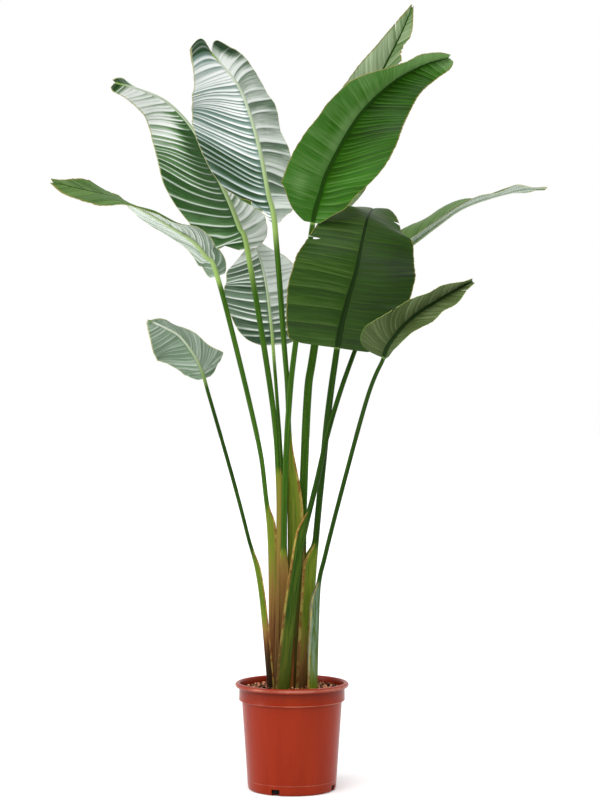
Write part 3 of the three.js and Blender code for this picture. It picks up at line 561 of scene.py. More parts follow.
        # painted shade just below each crease
        dark = np.exp(-(((1 - t) * self.gap / CREASE["dark"]) ** 2)) * (0.35 + 0.65 * self.depth)
        dark = dark * smooth(reach / 0.05) * (1 - 0.35 * smooth((reach - 0.3) / 0.7))
        edge = np.where(reach >= 1 - 1.01 * self.line, 1.0, 0.0)
        return np.stack([tones, dark, edge, light], -1)

    def add_to(self, form):
        used, flat = np.unique(self.quads(), return_inverse=True)
        co, faces, slots = thicken(self.grid().reshape(-1, 3)[used], flat.reshape(-1, 4), BLADE["thickness"])
        if "skin" in self.half:
            slots = np.where(slots == UNDER, OTHER_UNDER, slots)
        along = self.base + self.u * self.length
        place = np.stack([along, self.width * self.reach * self.hand, np.zeros_like(along)], -1)
        tint, place = self.tint().reshape(-1, 4)[used], place.reshape(-1, 3)[used]
        form.add(co, faces, slots, np.vstack([tint, tint]), np.vstack([place, place]))


def near_tip(u):
    """Grows from 0 where lobes and crowns start to 1 at the tip."""
    return np.clip((u - BLADE["tip_start"]) / (1 - BLADE["tip_start"]), 0, 1)


def blade_frame(route, s, turn):
    """Points on the midrib's line, and straight on past its end, with the normal and sideways direction."""
    inside = np.minimum(s, route.length)
    normal, side = route.attitude(inside, turn)
    beyond = route.tangent(np.array(route.length)) * np.maximum(s - route.length, 0)[..., None]
    return route.at(inside) + beyond, normal, side


def rib_radius(leaf, u):
    widening = 1 + (leaf.get("rib", 1) - 1) * smooth(u / 0.06)
    taper = (MIDRIB["tip_radius"] - leaf["stalk"][1]) * np.clip(u / 0.97, 0, 1) ** 0.8
    return (leaf["stalk"][1] + taper) * widening


# ---- stalks ----


def stalk_section(half, depth, hollow, groove):
    """Points of a stalk's section, in shares across and up: the underside arc, then the upper one."""
    angle = np.linspace(0, math.pi, STALK["arc_steps"] + 1)
    half, depth, hollow, groove = (size[:, None] for size in (half, depth, hollow, groove))
    edge = STALK["edge"]
    across = half * np.cos(angle)
    under = -edge - (depth - edge) * np.sin(angle)
    upper = edge - (hollow + edge) * np.sin(angle) - groove * np.exp(-((np.cos(angle) / 0.42) ** 2))
    return np.hstack([across, -across]), np.hstack([under, upper]), angle


def stalk(form, leaf, route, base):
    """Sheath, petiole and midrib in one sweep."""
    length, sheath = route.length - base, leaf["sheath"]
    lower = np.linspace(0, base, int(base / STALK["pitch"]))[:-1]
    upper = base + np.linspace(0, MIDRIB["end"] * length, int(length / MIDRIB["pitch"]))
    s = np.concatenate([lower, upper])
    u = (s - base) / length
    on_blade = u > 0
    centre = route.at(s)
    above = (centre[:, 2] - sheath["top"]) / (leaf["petiole"][-1][2] - sheath["top"])
    turn = sheath["turn"] + (leaf["turn"][0] - sheath["turn"]) * smooth(above)
    normal, side = route.attitude(s, np.where(on_blade, spread(leaf["turn"], u), turn))

    foot, top = leaf["stalk"]
    radius = np.where(on_blade, rib_radius(leaf, u), foot + (top - foot) * np.clip(s / base, 0, 1))
    below = sheath["top"] - centre[:, 2]
    to_soil = below / (sheath["top"] - SOIL_TOP)
    shoulder = smooth(below / sheath.get("shoulder", STALK["shoulder"]))
    wing = sheath["abrupt"] * shoulder + (1 - sheath["abrupt"]) * smooth(to_soil)
    half = radius + (sheath["half"] - radius) * wing
    depth = radius + (sheath["depth"] - radius) * wing
    bulge = -STALK["top_bulge"] * radius
    hollow = bulge + (sheath["depth"] * STALK["sheath_hollow"] - bulge) * wing
    groove = np.where(on_blade, MIDRIB["groove"] * radius, STALK["groove"] * radius * smooth(1 - 3 * wing))
    sink = MIDRIB["sink"] * radius * smooth((s - base + 30) / 30)
    centre = centre + normal * (sheath["offset"] * (depth - radius) - sink)[:, None]
    x, y, angle = stalk_section(half, depth, hollow, groove)
    co, faces = tube(sections(centre, side, normal, x, y))

    around = np.concatenate([angle, math.pi + angle])
    brown = smooth(below / STALK["brown_over"])
    fade = smooth(1 + (s - base) / leaf.get("keel_fade", STALK["keel_fade"])) * (leaf["turn"][0] > 90)
    rib_tone = STALK["keel_tone"] + (1 - STALK["keel_tone"]) * u * (1 - smooth((u - 0.9) / 0.06))
    tint = np.zeros((*x.shape, 4))
    tint[..., 0] = np.where(on_blade, rib_tone, STALK["keel_tone"] * fade)[:, None]
    tint[..., 1] = np.exp(-((np.sin(around) / 0.16) ** 2)) * smooth(4 * wing)[:, None]
    tint[..., 2] = (spread(sheath["age"], to_soil) * brown)[:, None]
    tint[..., 3] = np.concatenate([np.zeros_like(angle), np.sin(angle)])
    wings = smooth((np.abs(np.cos(around)) - 0.25) / 0.3) * brown[:, None]
    bloom = sheath.get("bloom", 0) * wings * (1 - smooth((to_soil - 0.82) / 0.15))[:, None]
    place = np.zeros((*x.shape, 3))
    place[..., 0] = s[:, None]
    place[..., 1] = around * half[:, None]
    # third value: painted shade at the foot towards the soil, less the bloom on the wings
    place[..., 2] = sheath.get("shade", 0) * smooth(to_soil)[:, None] - bloom
    form.add(co, faces, STEM, tint.reshape(-1, 4), place.reshape(-1, 3))


def make_leaf(name, leaf, materials):
    route = Route(leaf["petiole"] + leaf["midrib"])
    base = route.length_at(len(leaf["petiole"]) - 1)
    form = Form()
    for hand in (1, -1):
        HalfBlade(leaf, route, base, hand).add_to(form)
    stalk(form, leaf, route, base)
    skins = [*leaf["skins"], "margin", leaf.get("stem", "stem")]
    skins += [leaf[side]["skin"] for side in ("right", "left") if "skin" in leaf[side]]
    form.build(name + "_fine", [materials[skin] for skin in skins], name)


# ---- pot, soil and dry sheath ----

POT = {
    "height": 225, "rim_radius": 120, "roll": 5, "lip": 112.5,
    "collar_radius": 111.7, "collar_foot": 188, "neck_radius": 106,
    "foot_radius": 93, "foot_round": 6, "wall": 2.2, "floor": 3,
    "line_height": 21,  # a fine raised line runs round the wall here
    "sides": 160,
    "rings": (2, 20, 40, 60, 78),  # radii of the rings of points on the underside and the floor
    "wall_rings": (24, 40, 70, 100, 130, 160, 180), "collar_rings": (191, 200, 209),  # heights outside
    "inner_rings": (140, 90, 40), "bore_rings": (212, 200),  # heights inside
}
NOTCH = {"height": 13.5, "reach": 9, "columns": 5, "count": 4, "first_angle": -111.5}
SOIL = {"lump": 2.2, "fine": 3.2, "gap": 0.3, "rings": 56, "sides": 200, "seed": 31,
        "crumbs": 1500, "smallest": 1.2, "largest": 4.4,
        "fibres": 260, "fibre_half": (3, 8), "fibre_radius": (0.25, 0.5)}
DRY_SHEATH = {
    "route": [[-3, -24, 170], [-3, -25, 214], [0, -27, 262], [5, -30, 322]],
    "half": 7, "depth": 5.5, "turn": 175, "wall": 3, "edge": 0.6,
    "narrowing": 0.86, "ridges": 14, "ridge": 0.35, "torn": 0.4, "seed": 77,
    "rows": 60, "arc_steps": 24,
}


def arc(radius, height, size, start, end, steps):
    """Points of a rounded edge in a profile, from and to in degrees."""
    a = np.radians(np.linspace(start, end, steps + 1))
    return [[radius + size * math.cos(k), height + size * math.sin(k)] for k in a]


def wall_at(z):
    share = z / POT["collar_foot"]
    return [POT["foot_radius"] + (POT["neck_radius"] - POT["foot_radius"]) * share, z]


def pot_inside(z):
    """Inner radius of the pot at a height."""
    outer = POT["collar_radius"] if z > POT["collar_foot"] else wall_at(z)[0]
    return outer - POT["wall"]


def revolved(profile, sides, first_angle=0.0):
    """Points of a profile turned round the axis, ring by ring."""
    angle = math.radians(first_angle) + 2 * math.pi * np.arange(sides) / sides
    radius, z = np.array(profile, float).T
    return np.stack([radius[:, None] * np.cos(angle), radius[:, None] * np.sin(angle),
                     np.broadcast_to(z[:, None], (len(z), sides))], -1)


def end_caps(rows, sides):
    """Faces that close the first and the last ring."""
    return [list(range(sides))[::-1], list(range((rows - 1) * sides, rows * sides))]


def pot_profile():
    """The pot's section from the middle of the underside to the middle of the floor, by stretches."""
    p, roll, line, notch = POT, POT["roll"], POT["line_height"], NOTCH["height"]
    height, floor, step, foot_round = p["height"], p["floor"], p["collar_foot"], p["foot_round"]
    cut_in, bore, under_rim = p["foot_radius"] - NOTCH["reach"], pot_inside(height), height - 2 * roll
    return {
        "under": [[r, 0] for r in p["rings"]],
        "foot": [[cut_in, 0], *arc(p["foot_radius"] - foot_round, foot_round, foot_round, -90, -8, 6),
                 wall_at(notch)],
        "wall_foot": [wall_at(z) for z in (notch + 2, line - 2)],
        "line": arc(wall_at(line)[0] - 0.5, line, 0.8, -60, 60, 4),
        "wall": [wall_at(z) for z in (*p["wall_rings"], step - 2.5)],
        "bead": arc(p["collar_radius"] - 0.9, step + 1.0, 1.3, -100, 20, 6),
        "collar": [[p["collar_radius"], z] for z in (*p["collar_rings"], under_rim - 0.6)],
        "rim_foot": [[p["collar_radius"] + 0.5, under_rim], [p["rim_radius"] - roll, under_rim]],
        "roll": arc(p["rim_radius"] - roll, height - roll, roll, -80, 90, 12),
        "lip": [[p["lip"], height], [p["lip"] - 1.6, height - 0.9], [bore, height - 4]],
        "bore": [[bore, z] for z in (*p["bore_rings"], step + 1)],
        "inner": [[pot_inside(z), z] for z in (step - 3, *p["inner_rings"])],
        "inside": [[pot_inside(notch), notch], [pot_inside(4), floor + 4], [pot_inside(0) - 3, floor],
                   [cut_in, floor]],
        "floor": [[r, floor] for r in p["rings"][::-1]],
    }


def make_pot(material):
    stretches = pot_profile()
    profile = sum(stretches.values(), [])
    starts = np.cumsum([0] + [len(points) for points in stretches.values()]).tolist()
    first = dict(zip(stretches, starts))
    sides, rows = POT["sides"], len(profile)
    quads = ring_quads(rows, sides)
    keep = np.ones(quads.shape[:2], bool)
    low, high = (first["foot"], first["wall_foot"] - 1), (first["inside"], first["floor"] - 1)
    loop = np.array([*range(low[0], low[1] + 1), *range(high[0], high[1] + 1)]) * sides
    cuts = []
    for k in range(NOTCH["count"]):
        start = k * sides // NOTCH["count"]
        stop = start + NOTCH["columns"]
        for a, b in (low, high):
            keep[a:b, start:stop] = False
        for j in range(start, stop):
            cuts += [[a * sides + j, a * sides + j + 1, b * sides + j + 1, b * sides + j]
                     for a, b in ((low[1], high[0]), (high[1], low[0]))]
        cuts += [(loop + start).tolist(), (loop[::-1] + stop).tolist()]

    wear_and_highlight, shadow = np.zeros(rows), np.zeros(rows)
    # pale marks are painted highlights: on the collar's bead, the fine line and the front of the rim's roll
    wear_and_highlight[first["bead"] + 2:first["collar"] - 1] = 0.65
    wear_and_highlight[first["line"] + 1:first["wall"] - 1] = 0.35
    wear_and_highlight[first["roll"] + 4:first["roll"] + 9] = (0.2, 0.45, 0.55, 0.45, 0.2)
    # painted shadow under the rim, on the collar and the rim's underside
    shadow[first["collar"]:first["rim_foot"]] = (0.1, 0.2, 0.4, 0.75)
    shadow[first["rim_foot"]:first["roll"]] = 0.85
    tint = np.zeros((rows, sides, 4))
    tint[..., 0] = shadow[:, None]
    tint[..., 2] = wear_and_highlight[:, None]
    co = revolved(profile, sides, NOTCH["first_angle"] - 180 * NOTCH["columns"] / sides).reshape(-1, 3)
    form = Form()
    form.add(co, quads[keep].tolist() + cuts + end_caps(rows, sides), 0, tint.reshape(-1, 4), co)
    form.build("pot_fine", [material], "pot", 40)


def soil_height(x, y):
    """Height of the soil's top: the lumps of the part's source, and finer ones."""
    lumps = np.sin(x * 0.13 + 1) * np.cos(y * 0.11 - 2) + 0.6 * np.sin(x * 0.31 + y * 0.27)
    fine = np.array([noise.turbulence(Vector((a, b, 3.7)) * 0.16, 4, False) for a, b in zip(x.flat, y.flat)])
    middle = np.minimum(1, np.hypot(x, y) / 10)
    return SOIL_TOP + SOIL["lump"] * lumps * middle + SOIL["fine"] * fine.reshape(x.shape) - 2.2


def make_soil(material):
    rng = np.random.default_rng(SOIL["seed"])
    gap, sides, step = SOIL["gap"], SOIL["sides"], POT["collar_foot"]
    edge, foot = pot_inside(POT["height"]) - gap, POT["floor"] + gap
    side = [[3, foot], [pot_inside(0) - 3.5, foot], [pot_inside(0) - gap, foot + 1.2],
            [pot_inside(step) - gap, step - 2.7], [edge, step + 1.3], [edge, SOIL_TOP - 4]]
    radii = edge * np.linspace(1, 0.01, SOIL["rings"])
    co = revolved(side + [[r, 0] for r in radii], sides)
    top = co[len(side):]
    top[..., 2] = soil_height(top[..., 0], top[..., 1]) - 2 * np.exp(-((edge - radii[:, None]) / 3))
    tint = np.zeros((*co.shape[:2], 4))
    tint[..., 0] = 0.1
    # the soil's sides are painted near-black shade: they show through the notches and along the wall
    tint[:len(side), :, 1] = 1
    faces = ring_quads(len(co), sides).reshape(-1, 4).tolist() + end_caps(len(co), sides)
    co = co.reshape(-1, 3)
    form = Form()
    form.add(co, faces, 0, tint.reshape(-1, 4), co)
    form.build("soil_fine", [material], "soil", 50)
    crumbs = Form()
    add_crumbs(crumbs, rng, edge - 3)
    add_fibres(crumbs, rng, edge - 12)
    crumbs.build("soil_crumbs", [material], None, 30)


def icosahedron():
    """Its 12 corners and 20 faces."""
    g = (1 + 5**0.5) / 2
    corners = [[a, b * g, 0] for a in (-1, 1) for b in (-1, 1)]
    corners += [[0, a, b * g] for a in (-1, 1) for b in (-1, 1)]
    corners += [[b * g, 0, a] for a in (-1, 1) for b in (-1, 1)]
    p = unit(np.array(corners, float))
    near = np.linalg.norm(p[:, None] - p[None], axis=-1) < 1.1
    faces = [[i, j, k] for i in range(12) for j in range(i + 1, 12) for k in range(j + 1, 12)
             if near[i, j] and near[j, k] and near[i, k]]
    return p, [[i, j, k] if np.dot(np.cross(p[j] - p[i], p[k] - p[i]), p[i]) > 0 else [i, k, j]
               for i, j, k in faces]


def add_crumbs(form, rng, reach):
    """Crumbs of peat and bark that lie on the soil."""
    ball, triangles = icosahedron()
    spots = np.sqrt(rng.uniform(0.02, 1, SOIL["crumbs"])) * reach
    angles = rng.uniform(0, 2 * math.pi, SOIL["crumbs"])
    x, y = spots * np.cos(angles), spots * np.sin(angles)
    for at_x, at_y, z in zip(x, y, soil_height(x, y)):
        size = SOIL["smallest"] + (SOIL["largest"] - SOIL["smallest"]) * rng.random() ** 1.8
        stretch = size * rng.uniform(0.6, 1.3, 3) * (1, 1, 0.75)
        spin = np.linalg.qr(rng.normal(size=(3, 3)))[0]
        spin *= np.sign(np.linalg.det(spin))
        shape = ball * rng.uniform(0.75, 1.2, (12, 1)) * stretch
        tint = (min(1, max(0, rng.normal(0.5, 0.6))), 0, 0, 1)
        co = shape @ spin.T + (at_x, at_y, z + 0.25 * size)
        form.add(co, triangles, 0, tint, co)


def add_fibres(form, rng, reach):
    """Short, bent fibres that lie on the soil."""
    a = 2 * math.pi * np.arange(6) / 6
    k = np.linspace(-1, 1, 6)[:, None]
    for _ in range(SOIL["fibres"]):
        spot, angle, heading = math.sqrt(rng.random()) * reach, *rng.uniform(0, 2 * math.pi, 2)
        along = np.array([math.cos(heading), math.sin(heading), rng.uniform(-0.15, 0.25)])
        bend = rng.normal(size=3) * (1, 1, 0.3)
        middle = np.array([spot * math.cos(angle), spot * math.sin(angle), 0])
        middle[2] = soil_height(middle[:1], middle[1:2])[0] + 1.4
        half, radius = rng.uniform(*SOIL["fibre_half"]), rng.uniform(*SOIL["fibre_radius"])
        line = middle + along * half * k + bend * 1.2 * (1 - k**2)
        aside = unit(np.cross(along, (0, 0, 1)))
        over = unit(np.cross(aside, along))
        rings = line[:, None] + radius * (np.cos(a)[:, None] * aside + np.sin(a)[:, None] * over)
        co, faces = tube(rings)
        form.add(co, faces, 0, (rng.uniform(0.6, 1), 0, 0, 1), co)


def make_dry_sheath(material):
    """The torn, pointed foot of a lost leaf: a ridged crescent that narrows to a tip."""
    d, edge = DRY_SHEATH, DRY_SHEATH["edge"]
    route = Route(d["route"])
    share = np.linspace(0, 1, d["rows"])[:, None]
    s = share * route.length
    normal, side = route.attitude(s[:, 0], np.full(len(s), d["turn"]))
    slim = 1 - d["narrowing"] * share**1.6
    half = d["half"] * slim + d["torn"] * wobble(s / 6, d["seed"]) * slim
    angle = np.linspace(0, math.pi, d["arc_steps"] + 1)
    ridge = d["ridge"] * np.cos(angle * d["ridges"]) * slim
    under = -edge - (d["depth"] * slim - edge + ridge) * np.sin(angle)
    over = edge - ((d["depth"] - d["wall"]) * slim + edge) * np.sin(angle)
    x, y = np.hstack([half * np.cos(angle), -half * np.cos(angle)]), np.hstack([under, over])
    co, faces = tube(sections(route.at(s[:, 0]), side, normal, x, y))
    place = np.zeros((*x.shape, 3))
    place[..., 0] = s
    place[..., 1] = np.concatenate([angle, angle]) * 2.2 * d["half"]
    tint = np.zeros((*x.shape, 4))
    tint[..., 0] = 1 - share
    form = Form()
    form.add(co, faces, 0, tint.reshape(-1, 4), place.reshape(-1, 3))
    form.build("dry_sheath_fine", [material], "dry_sheath")


# ---- materials ----
# Colours are 0 to 255 in the usual display scale, as they show under the studio's light.

ALBEDO = 0.7  # a surface reflects this share of the colour that it shows
BRIGHT = 0.85  # the share that the palest leaf tones reflect
GLOSS, STEM_GLOSS = 0.16, 0.08  # how much a leaf and a stalk mirror
CREAM, BROWN, OLIVE = (206, 208, 150), (150, 140, 62), (90, 124, 36)
# the dark line is painted shade below each crease, the light line partly pale vein and partly painted
# highlight, and the high tone partly painted sheen
LEAF_SKINS = {  # low, middle and high tone, dark line, light line, rim, roughness and depth of the streaks
    "upper_bright": ((30, 62, 0), (52, 116, 0), (112, 152, 88),
                     ((30, 60, 0), 0.5), ((100, 146, 60), 0.35), BROWN, 0.42, 0.2),
    "upper_dark": ((26, 44, 16), (42, 78, 0), (84, 110, 48),
                   ((24, 48, 0), 0.5), ((70, 104, 34), 0.16), BROWN, 0.45, 0.2),
    "upper_common": ((28, 60, 0), (48, 90, 12), (100, 134, 66),
                     ((30, 60, 4), 0.45), ((96, 132, 54), 0.35), BROWN, 0.45, 0.2),
    "upper_sage": ((44, 84, 14), (98, 130, 72), (176, 196, 156),
                   ((60, 94, 34), 0.5), ((180, 198, 156), 0.5), BROWN, 0.48, 0.2),
    "upper_olive": ((46, 66, 20), (80, 98, 50), (136, 150, 108),
                    ((44, 66, 20), 0.5), ((126, 142, 94), 0.12), OLIVE, 0.5, 0.2),
    "under_teal": ((24, 70, 22), (132, 162, 150), (250, 254, 252),
                   ((14, 46, 34), 0.9), ((252, 255, 254), 0.55), CREAM, 0.5, 0.12),
    "under_green": ((26, 76, 0), (100, 144, 86), (250, 254, 250),
                    ((8, 40, 0), 0.9), ((248, 254, 248), 0.6), CREAM, 0.5, 0.12),
    "under_common": ((30, 66, 34), (118, 144, 116), (246, 252, 246),
                     ((12, 40, 18), 0.95), ((244, 250, 244), 0.38), CREAM, 0.5, 0.14),
    "under_sage": ((66, 98, 58), (128, 152, 126), (214, 224, 214),
                   ((52, 84, 52), 0.6), ((212, 222, 210), 0.22), CREAM, 0.52, 0.2),
    "under_smooth": ((66, 98, 58), (128, 152, 126), (206, 218, 206),
                     ((52, 84, 52), 0.5), ((206, 218, 204), 0.3), CREAM, 0.52, 0.06),
}
# the channel's colour is painted shade in the midrib's groove, and the lighter green also paints a highlight
# on its shoulders
STEM_SKINS = {  # two greens, the keel's colour and the channel's
    "stem": ((44, 84, 12), (80, 124, 30), (160, 194, 104), (34, 74, 4)),
    "stem_dark": ((22, 54, 0), (52, 90, 10), (120, 150, 76), (26, 52, 8)),
}
# a sheath's colours at each age
AGEING = ((0.0, (52, 92, 16)), (0.2, (124, 144, 40)), (0.42, (158, 122, 62)), (0.6, (128, 84, 44)),
          (0.8, (72, 46, 20)), (1.0, (38, 26, 14)))


def linear(red, green, blue, share=ALBEDO):
    """A colour in linear light."""
    levels = [((c / 255 + 0.055) / 1.055) ** 2.4 if c > 10 else c / 255 / 12.92 for c in (red, green, blue)]
    return (*(share * c for c in levels), 1.0)


class Nodes:
    """A node tree, with a short call for each kind of node that is used here."""

    def __init__(self, owner, shader="Principled BSDF"):
        owner.use_nodes = True
        self.owner, self.tree = owner, owner.node_tree
        self.shader = self.tree.nodes[shader]

    def put(self, socket, value):
        if isinstance(value, bpy.types.NodeSocket):
            self.tree.links.new(value, socket)
        else:
            socket.default_value = value

    def add(self, kind, *values):
        """A new node with its first inputs filled."""
        node = self.tree.nodes.new("ShaderNode" + kind)
        for socket, value in zip(node.inputs, values):
            self.put(socket, value)
        return node

    def attribute(self, name):
        node = self.add("Attribute")
        node.attribute_name = name
        return node.outputs

    def tint(self):
        """The four numbers marked on the vertices."""
        source = self.attribute("tint")
        return [*self.add("SeparateColor", source["Color"]).outputs, source["Alpha"]]

    def objects(self):
        return self.add("TexCoord").outputs["Object"]

    def noise(self, vector, scale, detail=3, rough=0.55):
        node = self.add("TexNoise", vector)
        for name, value in (("Scale", scale), ("Detail", detail), ("Roughness", rough)):
            node.inputs[name].default_value = value
        return node.outputs["Fac"]

    def streaks(self, vector, scale, detail=3, rough=0.55):
        """Noise with a scale of its own in each direction."""
        node = self.add("Mapping", vector)
        node.inputs["Scale"].default_value = scale
        return self.noise(node.outputs[0], 1.0, detail, rough)

    def math(self, kind, a, b):
        node = self.add("Math", a, b)
        node.operation = kind
        return node.outputs[0]

    def times(self, a, b):
        return self.math("MULTIPLY", a, b)

    def plus(self, a, b):
        return self.math("ADD", a, b)

    def span(self, value, low, high, to_low=0.0, to_high=1.0):
        return self.add("MapRange", value, low, high, to_low, to_high).outputs[0]

    def vary(self, value, low, high):
        """A noise's usual range, brought to low and high."""
        return self.span(value, 0.3, 0.7, low, high)

    def ramp(self, value, *stops):
        """stops are (place, colour)."""
        node = self.add("ValToRGB", value)
        elements = node.color_ramp.elements
        while len(elements) < len(stops):
            elements.new(0.5)
        for element, (place, colour) in zip(elements, stops):
            element.position = place
            element.color = linear(*colour)
        return node.outputs[0]

    def mix(self, amount, a, b):
        """Each of a and b is a socket or a colour."""
        node = self.add("Mix")
        node.data_type = "RGBA"
        self.put(node.inputs["Factor"], amount)
        for name, value in (("A", a), ("B", b)):
            self.put(node.inputs[name], linear(*value) if isinstance(value, tuple) else value)
        return next(o for o in node.outputs if o.type == "RGBA")

    def bump(self, height, distance):
        node = self.add("Bump")
        node.inputs["Distance"].default_value = distance * MM
        self.put(node.inputs["Height"], height)
        self.put(self.shader.inputs["Normal"], node.outputs[0])

    def finish(self, colour, roughness, gloss):
        for name, value in (("Base Color", colour), ("Roughness", roughness), ("Specular IOR Level", gloss)):
            self.put(self.shader.inputs[name], value)
        return self.owner


def surface(name):
    return Nodes(bpy.data.materials.new(name))


def leaf_skin(name, low, middle, high, dark, light, rim, roughness, depth):
    """A blade's face: three tones, the palest partly painted sheen, veins that run out from the midrib,
    creases and a pale rim.

    dark is the colour and the strength of the painted shade below each crease, light those of the light line
    beside it, partly pale vein and partly painted highlight.
    """
    n = surface(name)
    tone, shadow, edge, vein_and_highlight = n.tint()
    place = n.attribute("place")["Vector"]
    veins = n.streaks(place, (0.75, 0.012, 1), 2)
    fibres = n.streaks(place, (1.9, 0.03, 1), 2)
    clouds = n.noise(n.objects(), 14)
    tone = n.plus(n.plus(tone, n.vary(veins, -depth, depth)), n.vary(clouds, -0.07, 0.07))
    # the palest tone is partly painted sheen
    colour = n.ramp(tone, (0, low), (0.5, middle), (1, (*high, BRIGHT)))
    colour = n.mix(n.span(fibres, 0.45, 0.75, 0, 0.07), colour, light[0])
    # painted shade below each crease
    colour = n.mix(n.times(shadow, dark[1]), colour, dark[0])
    # light line beside each crease: partly pale vein, partly painted highlight
    colour = n.mix(n.times(vein_and_highlight, light[1]), colour, light[0])
    colour = n.mix(n.times(edge, 0.8), colour, rim)
    n.bump(n.plus(n.times(veins, 0.7), n.times(fibres, 0.3)), 0.15)
    return n.finish(colour, n.vary(clouds, roughness - 0.06, roughness + 0.06), GLOSS)


def margin_skin():
    n = surface("leaf_margin")
    wear_and_highlight = n.noise(n.objects(), 120, 2)
    colour = n.ramp(wear_and_highlight, (0.3, (150, 150, 70)), (0.55, (190, 190, 130)), (0.75, (120, 110, 50)))
    n.bump(wear_and_highlight, 0.1)
    return n.finish(colour, n.vary(wear_and_highlight, 0.5, 0.7), GLOSS)


def stem_skin(name, green, light, keel, channel_shade):
    """Stalk, sheath and midrib: streaked along, pale where it is a keel, brown at the sheath's edges, with
    painted shade in the midrib's channel, a painted highlight on its shoulders, and painted shade at the
    sheath's foot.
    """
    n = surface(name)
    pale, edge, age, upper = n.tint()
    place = n.attribute("place")["Vector"]
    streak = n.streaks(place, (0.012, 0.55, 1))
    fine = n.streaks(place, (0.03, 1.6, 1), 2)
    spots = n.streaks(place, (0.05, 0.2, 1), 3, 0.7)
    dust = n.streaks(n.objects(), (260, 260, 22), 3, 0.6)
    # painted shade at the sheath's foot where positive, bloom where negative
    depth = n.add("SeparateXYZ", place).outputs["Z"]
    colour = n.ramp(streak, (0.35, green), (0.7, light))
    under = n.mix(n.span(pale, 0.55, 1.0), keel, (232, 240, 224))
    colour = n.mix(n.span(pale, 0.0, 0.5), colour, under)
    # the midrib's channel: painted shade in its middle and a painted highlight on its shoulders
    groove = n.mix(n.span(upper, 0.4, 0.62), light, channel_shade)
    colour = n.mix(n.times(n.span(upper, 0.1, 0.3), n.span(pale, 0.5, 0.56)), colour, groove)
    old = n.ramp(n.plus(age, n.vary(streak, -0.1, 0.1)), *AGEING)
    colour = n.mix(n.span(age, 0.0, 0.1), colour, old)
    rust = n.mix(n.span(spots, 0.4, 0.6), (150, 66, 44), (190, 176, 84))
    colour = n.mix(n.times(n.span(edge, 0.2, 0.7), n.span(spots, 0.3, 0.45)), colour, rust)
    colour = n.mix(n.times(n.span(depth, 0, -1), n.span(dust, 0.36, 0.6)), colour, (136, 160, 140))
    # painted shade at the sheath's foot, towards the soil
    colour = n.mix(n.span(depth, 0, 1), colour, (18, 14, 4))
    n.bump(n.plus(n.times(streak, 0.6), n.times(fine, 0.4)), 0.5)
    return n.finish(colour, n.vary(fine, 0.4, 0.52), STEM_GLOSS)


def leaf_materials():
    skins = {name: leaf_skin(name, *look) for name, look in LEAF_SKINS.items()}
    skins["margin"] = margin_skin()
    return skins | {name: stem_skin(name, *look) for name, look in STEM_SKINS.items()}


def pot_plastic():
    n = surface("pot_plastic")
    shadow, _, wear_and_highlight, _ = n.tint()
    grain = n.noise(n.objects(), 900)
    flow = n.streaks(n.objects(), (30, 30, 3))
    colour = n.ramp(flow, (0.3, (150, 36, 0)), (0.7, (164, 44, 0)))
    colour = n.mix(n.span(grain, 0.4, 0.75, 0, 0.1), colour, (196, 90, 60))
    # painted highlights on the collar's bead, the fine line and the rim's roll
    colour = n.mix(n.times(wear_and_highlight, n.span(flow, 0.35, 0.6, 0.2, 0.8)), colour, (226, 170, 150))
    # painted shadow under the rim
    colour = n.mix(n.times(shadow, 0.8), colour, (60, 10, 0))
    n.bump(grain, 0.06)
    return n.finish(colour, n.vary(grain, 0.26, 0.34), 0.14)


def potting_soil():
    """Peat and bark: the tone of each crumb is marked on it."""
    n = surface("potting_soil")
    tone, painted_side_shade, _, _ = n.tint()
    grain = n.noise(n.objects(), 700, 4, 0.7)
    patch = n.noise(n.objects(), 160, 3, 0.6)
    colour = n.ramp(n.plus(tone, n.vary(patch, -0.3, 0.3)), (0.0, (22, 12, 7)), (0.3, (108, 63, 40)),
                    (0.62, (200, 126, 88)), (1.0, (255, 178, 136)))
    colour = n.mix(n.span(grain, 0.45, 0.7, 0, 0.5), colour, (20, 12, 8))
    # painted shade on the soil's sides
    colour = n.mix(painted_side_shade, colour, (8, 5, 4))
    n.bump(grain, 0.5)
    return n.finish(colour, n.vary(grain, 0.75, 0.95), 0.15)


def dry_skin():
    n = surface("sheath_dry")
    tone = n.tint()[0]
    streak = n.streaks(n.attribute("place")["Vector"], (0.02, 0.7, 1), 4, 0.7)
    colour = n.ramp(n.plus(streak, n.span(tone, 0, 1, -0.15, 0.15)), (0.3, (58, 26, 8)),
                    (0.5, (132, 76, 24)), (0.68, (170, 112, 46)), (0.85, (110, 112, 36)))
    n.bump(streak, 0.8)
    return n.finish(colour, n.vary(streak, 0.6, 0.8), GLOSS)


# ---- studio ----

WORLD_LEVELS = (-0.35, -0.1, 0.42, 1.0)  # direction along Y from and to, strength from and to
SUN = {"from": (-0.7, -3.0, 4.2), "strength": 2.4, "softness": 60}
PANEL = {"from": (-2.6, -0.9, 1.3), "aim": (0, 0, 0.9), "width": 0.7, "height": 2.4, "watts": 30}
FLOOR = {"radius": 40, "sides": 64}
CAMERA = {"place": (0.017, -4.230, 0.821), "lens": 90, "sensor": 36}


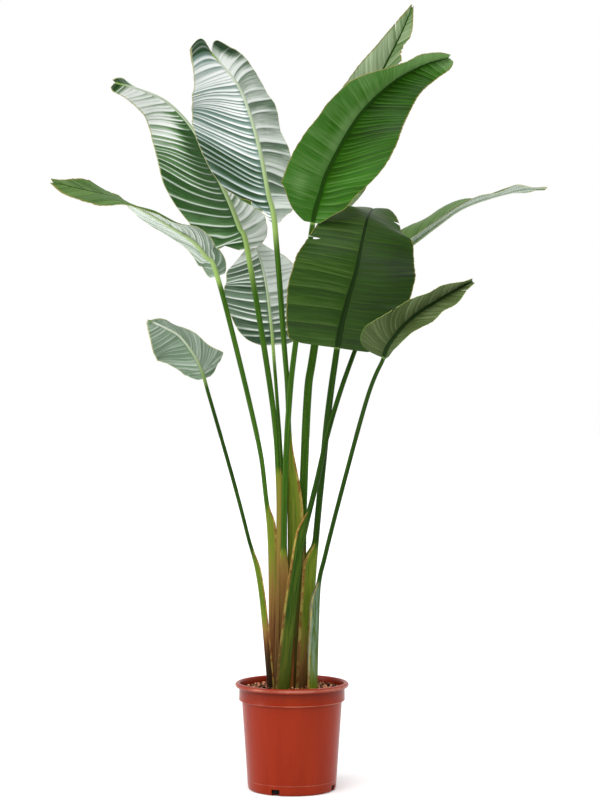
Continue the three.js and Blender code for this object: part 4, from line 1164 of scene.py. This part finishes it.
def surroundings():
    """White behind the object, up to the sides, and dimmer on the camera's side."""
    world = bpy.data.worlds.new("studio")
    bpy.context.scene.world = world
    n = Nodes(world, "Background")
    direction = n.add("TexCoord").outputs["Generated"]
    level = n.span(n.add("SeparateXYZ", direction).outputs["Y"], *WORLD_LEVELS)
    level.node.interpolation_type = "SMOOTHSTEP"
    n.put(n.shader.inputs["Strength"], level)
    n.put(n.shader.inputs["Color"], (1, 1, 1, 1))


def lamp(light, place, aim):
    holder = show(light.name, light)
    holder.location = place
    holder.rotation_euler = (Vector(aim) - Vector(place)).to_track_quat("-Z", "Y").to_euler()


def studio():
    """White surroundings, a pale floor, a broad light from above and a softer one from the side."""
    bpy.context.scene.view_settings.view_transform = "Standard"
    surroundings()
    floor = bpy.data.meshes.new("floor")
    angles = np.linspace(0, 2 * math.pi, FLOOR["sides"], endpoint=False)
    ring = [(FLOOR["radius"] * math.cos(a), FLOOR["radius"] * math.sin(a), 0) for a in angles]
    floor.from_pydata(ring, [], [list(range(FLOOR["sides"]))])
    n = surface("floor")
    colour = n.ramp(n.noise(n.objects(), 3, 2), (0, (246, 246, 246, 1)), (1, (252, 252, 252, 1)))
    floor.materials.append(n.finish(colour, 0.9, 0))
    plane = show("floor", floor)

    sun = bpy.data.lights.new("key", "SUN")
    sun.energy, sun.angle = SUN["strength"], math.radians(SUN["softness"])
    lamp(sun, SUN["from"], (0, 0, 0))
    panel = bpy.data.lights.new("side", "AREA")
    panel.shape = "RECTANGLE"
    panel.size, panel.size_y, panel.energy = PANEL["width"], PANEL["height"], PANEL["watts"]
    lamp(panel, PANEL["from"], PANEL["aim"])


def camera():
    data = bpy.data.cameras.new("camera")
    data.lens = CAMERA["lens"]
    data.sensor_width = CAMERA["sensor"]
    seer = show("camera", data)
    seer.location = CAMERA["place"]
    seer.rotation_euler = (math.radians(90), 0, 0)
    bpy.context.scene.camera = seer


camera()
studio()
MATERIALS = leaf_materials()
for leaf_name, leaf_data in LEAVES.items():
    make_leaf(leaf_name, leaf_data, MATERIALS)
make_dry_sheath(dry_skin())
make_soil(potting_soil())
make_pot(pot_plastic())
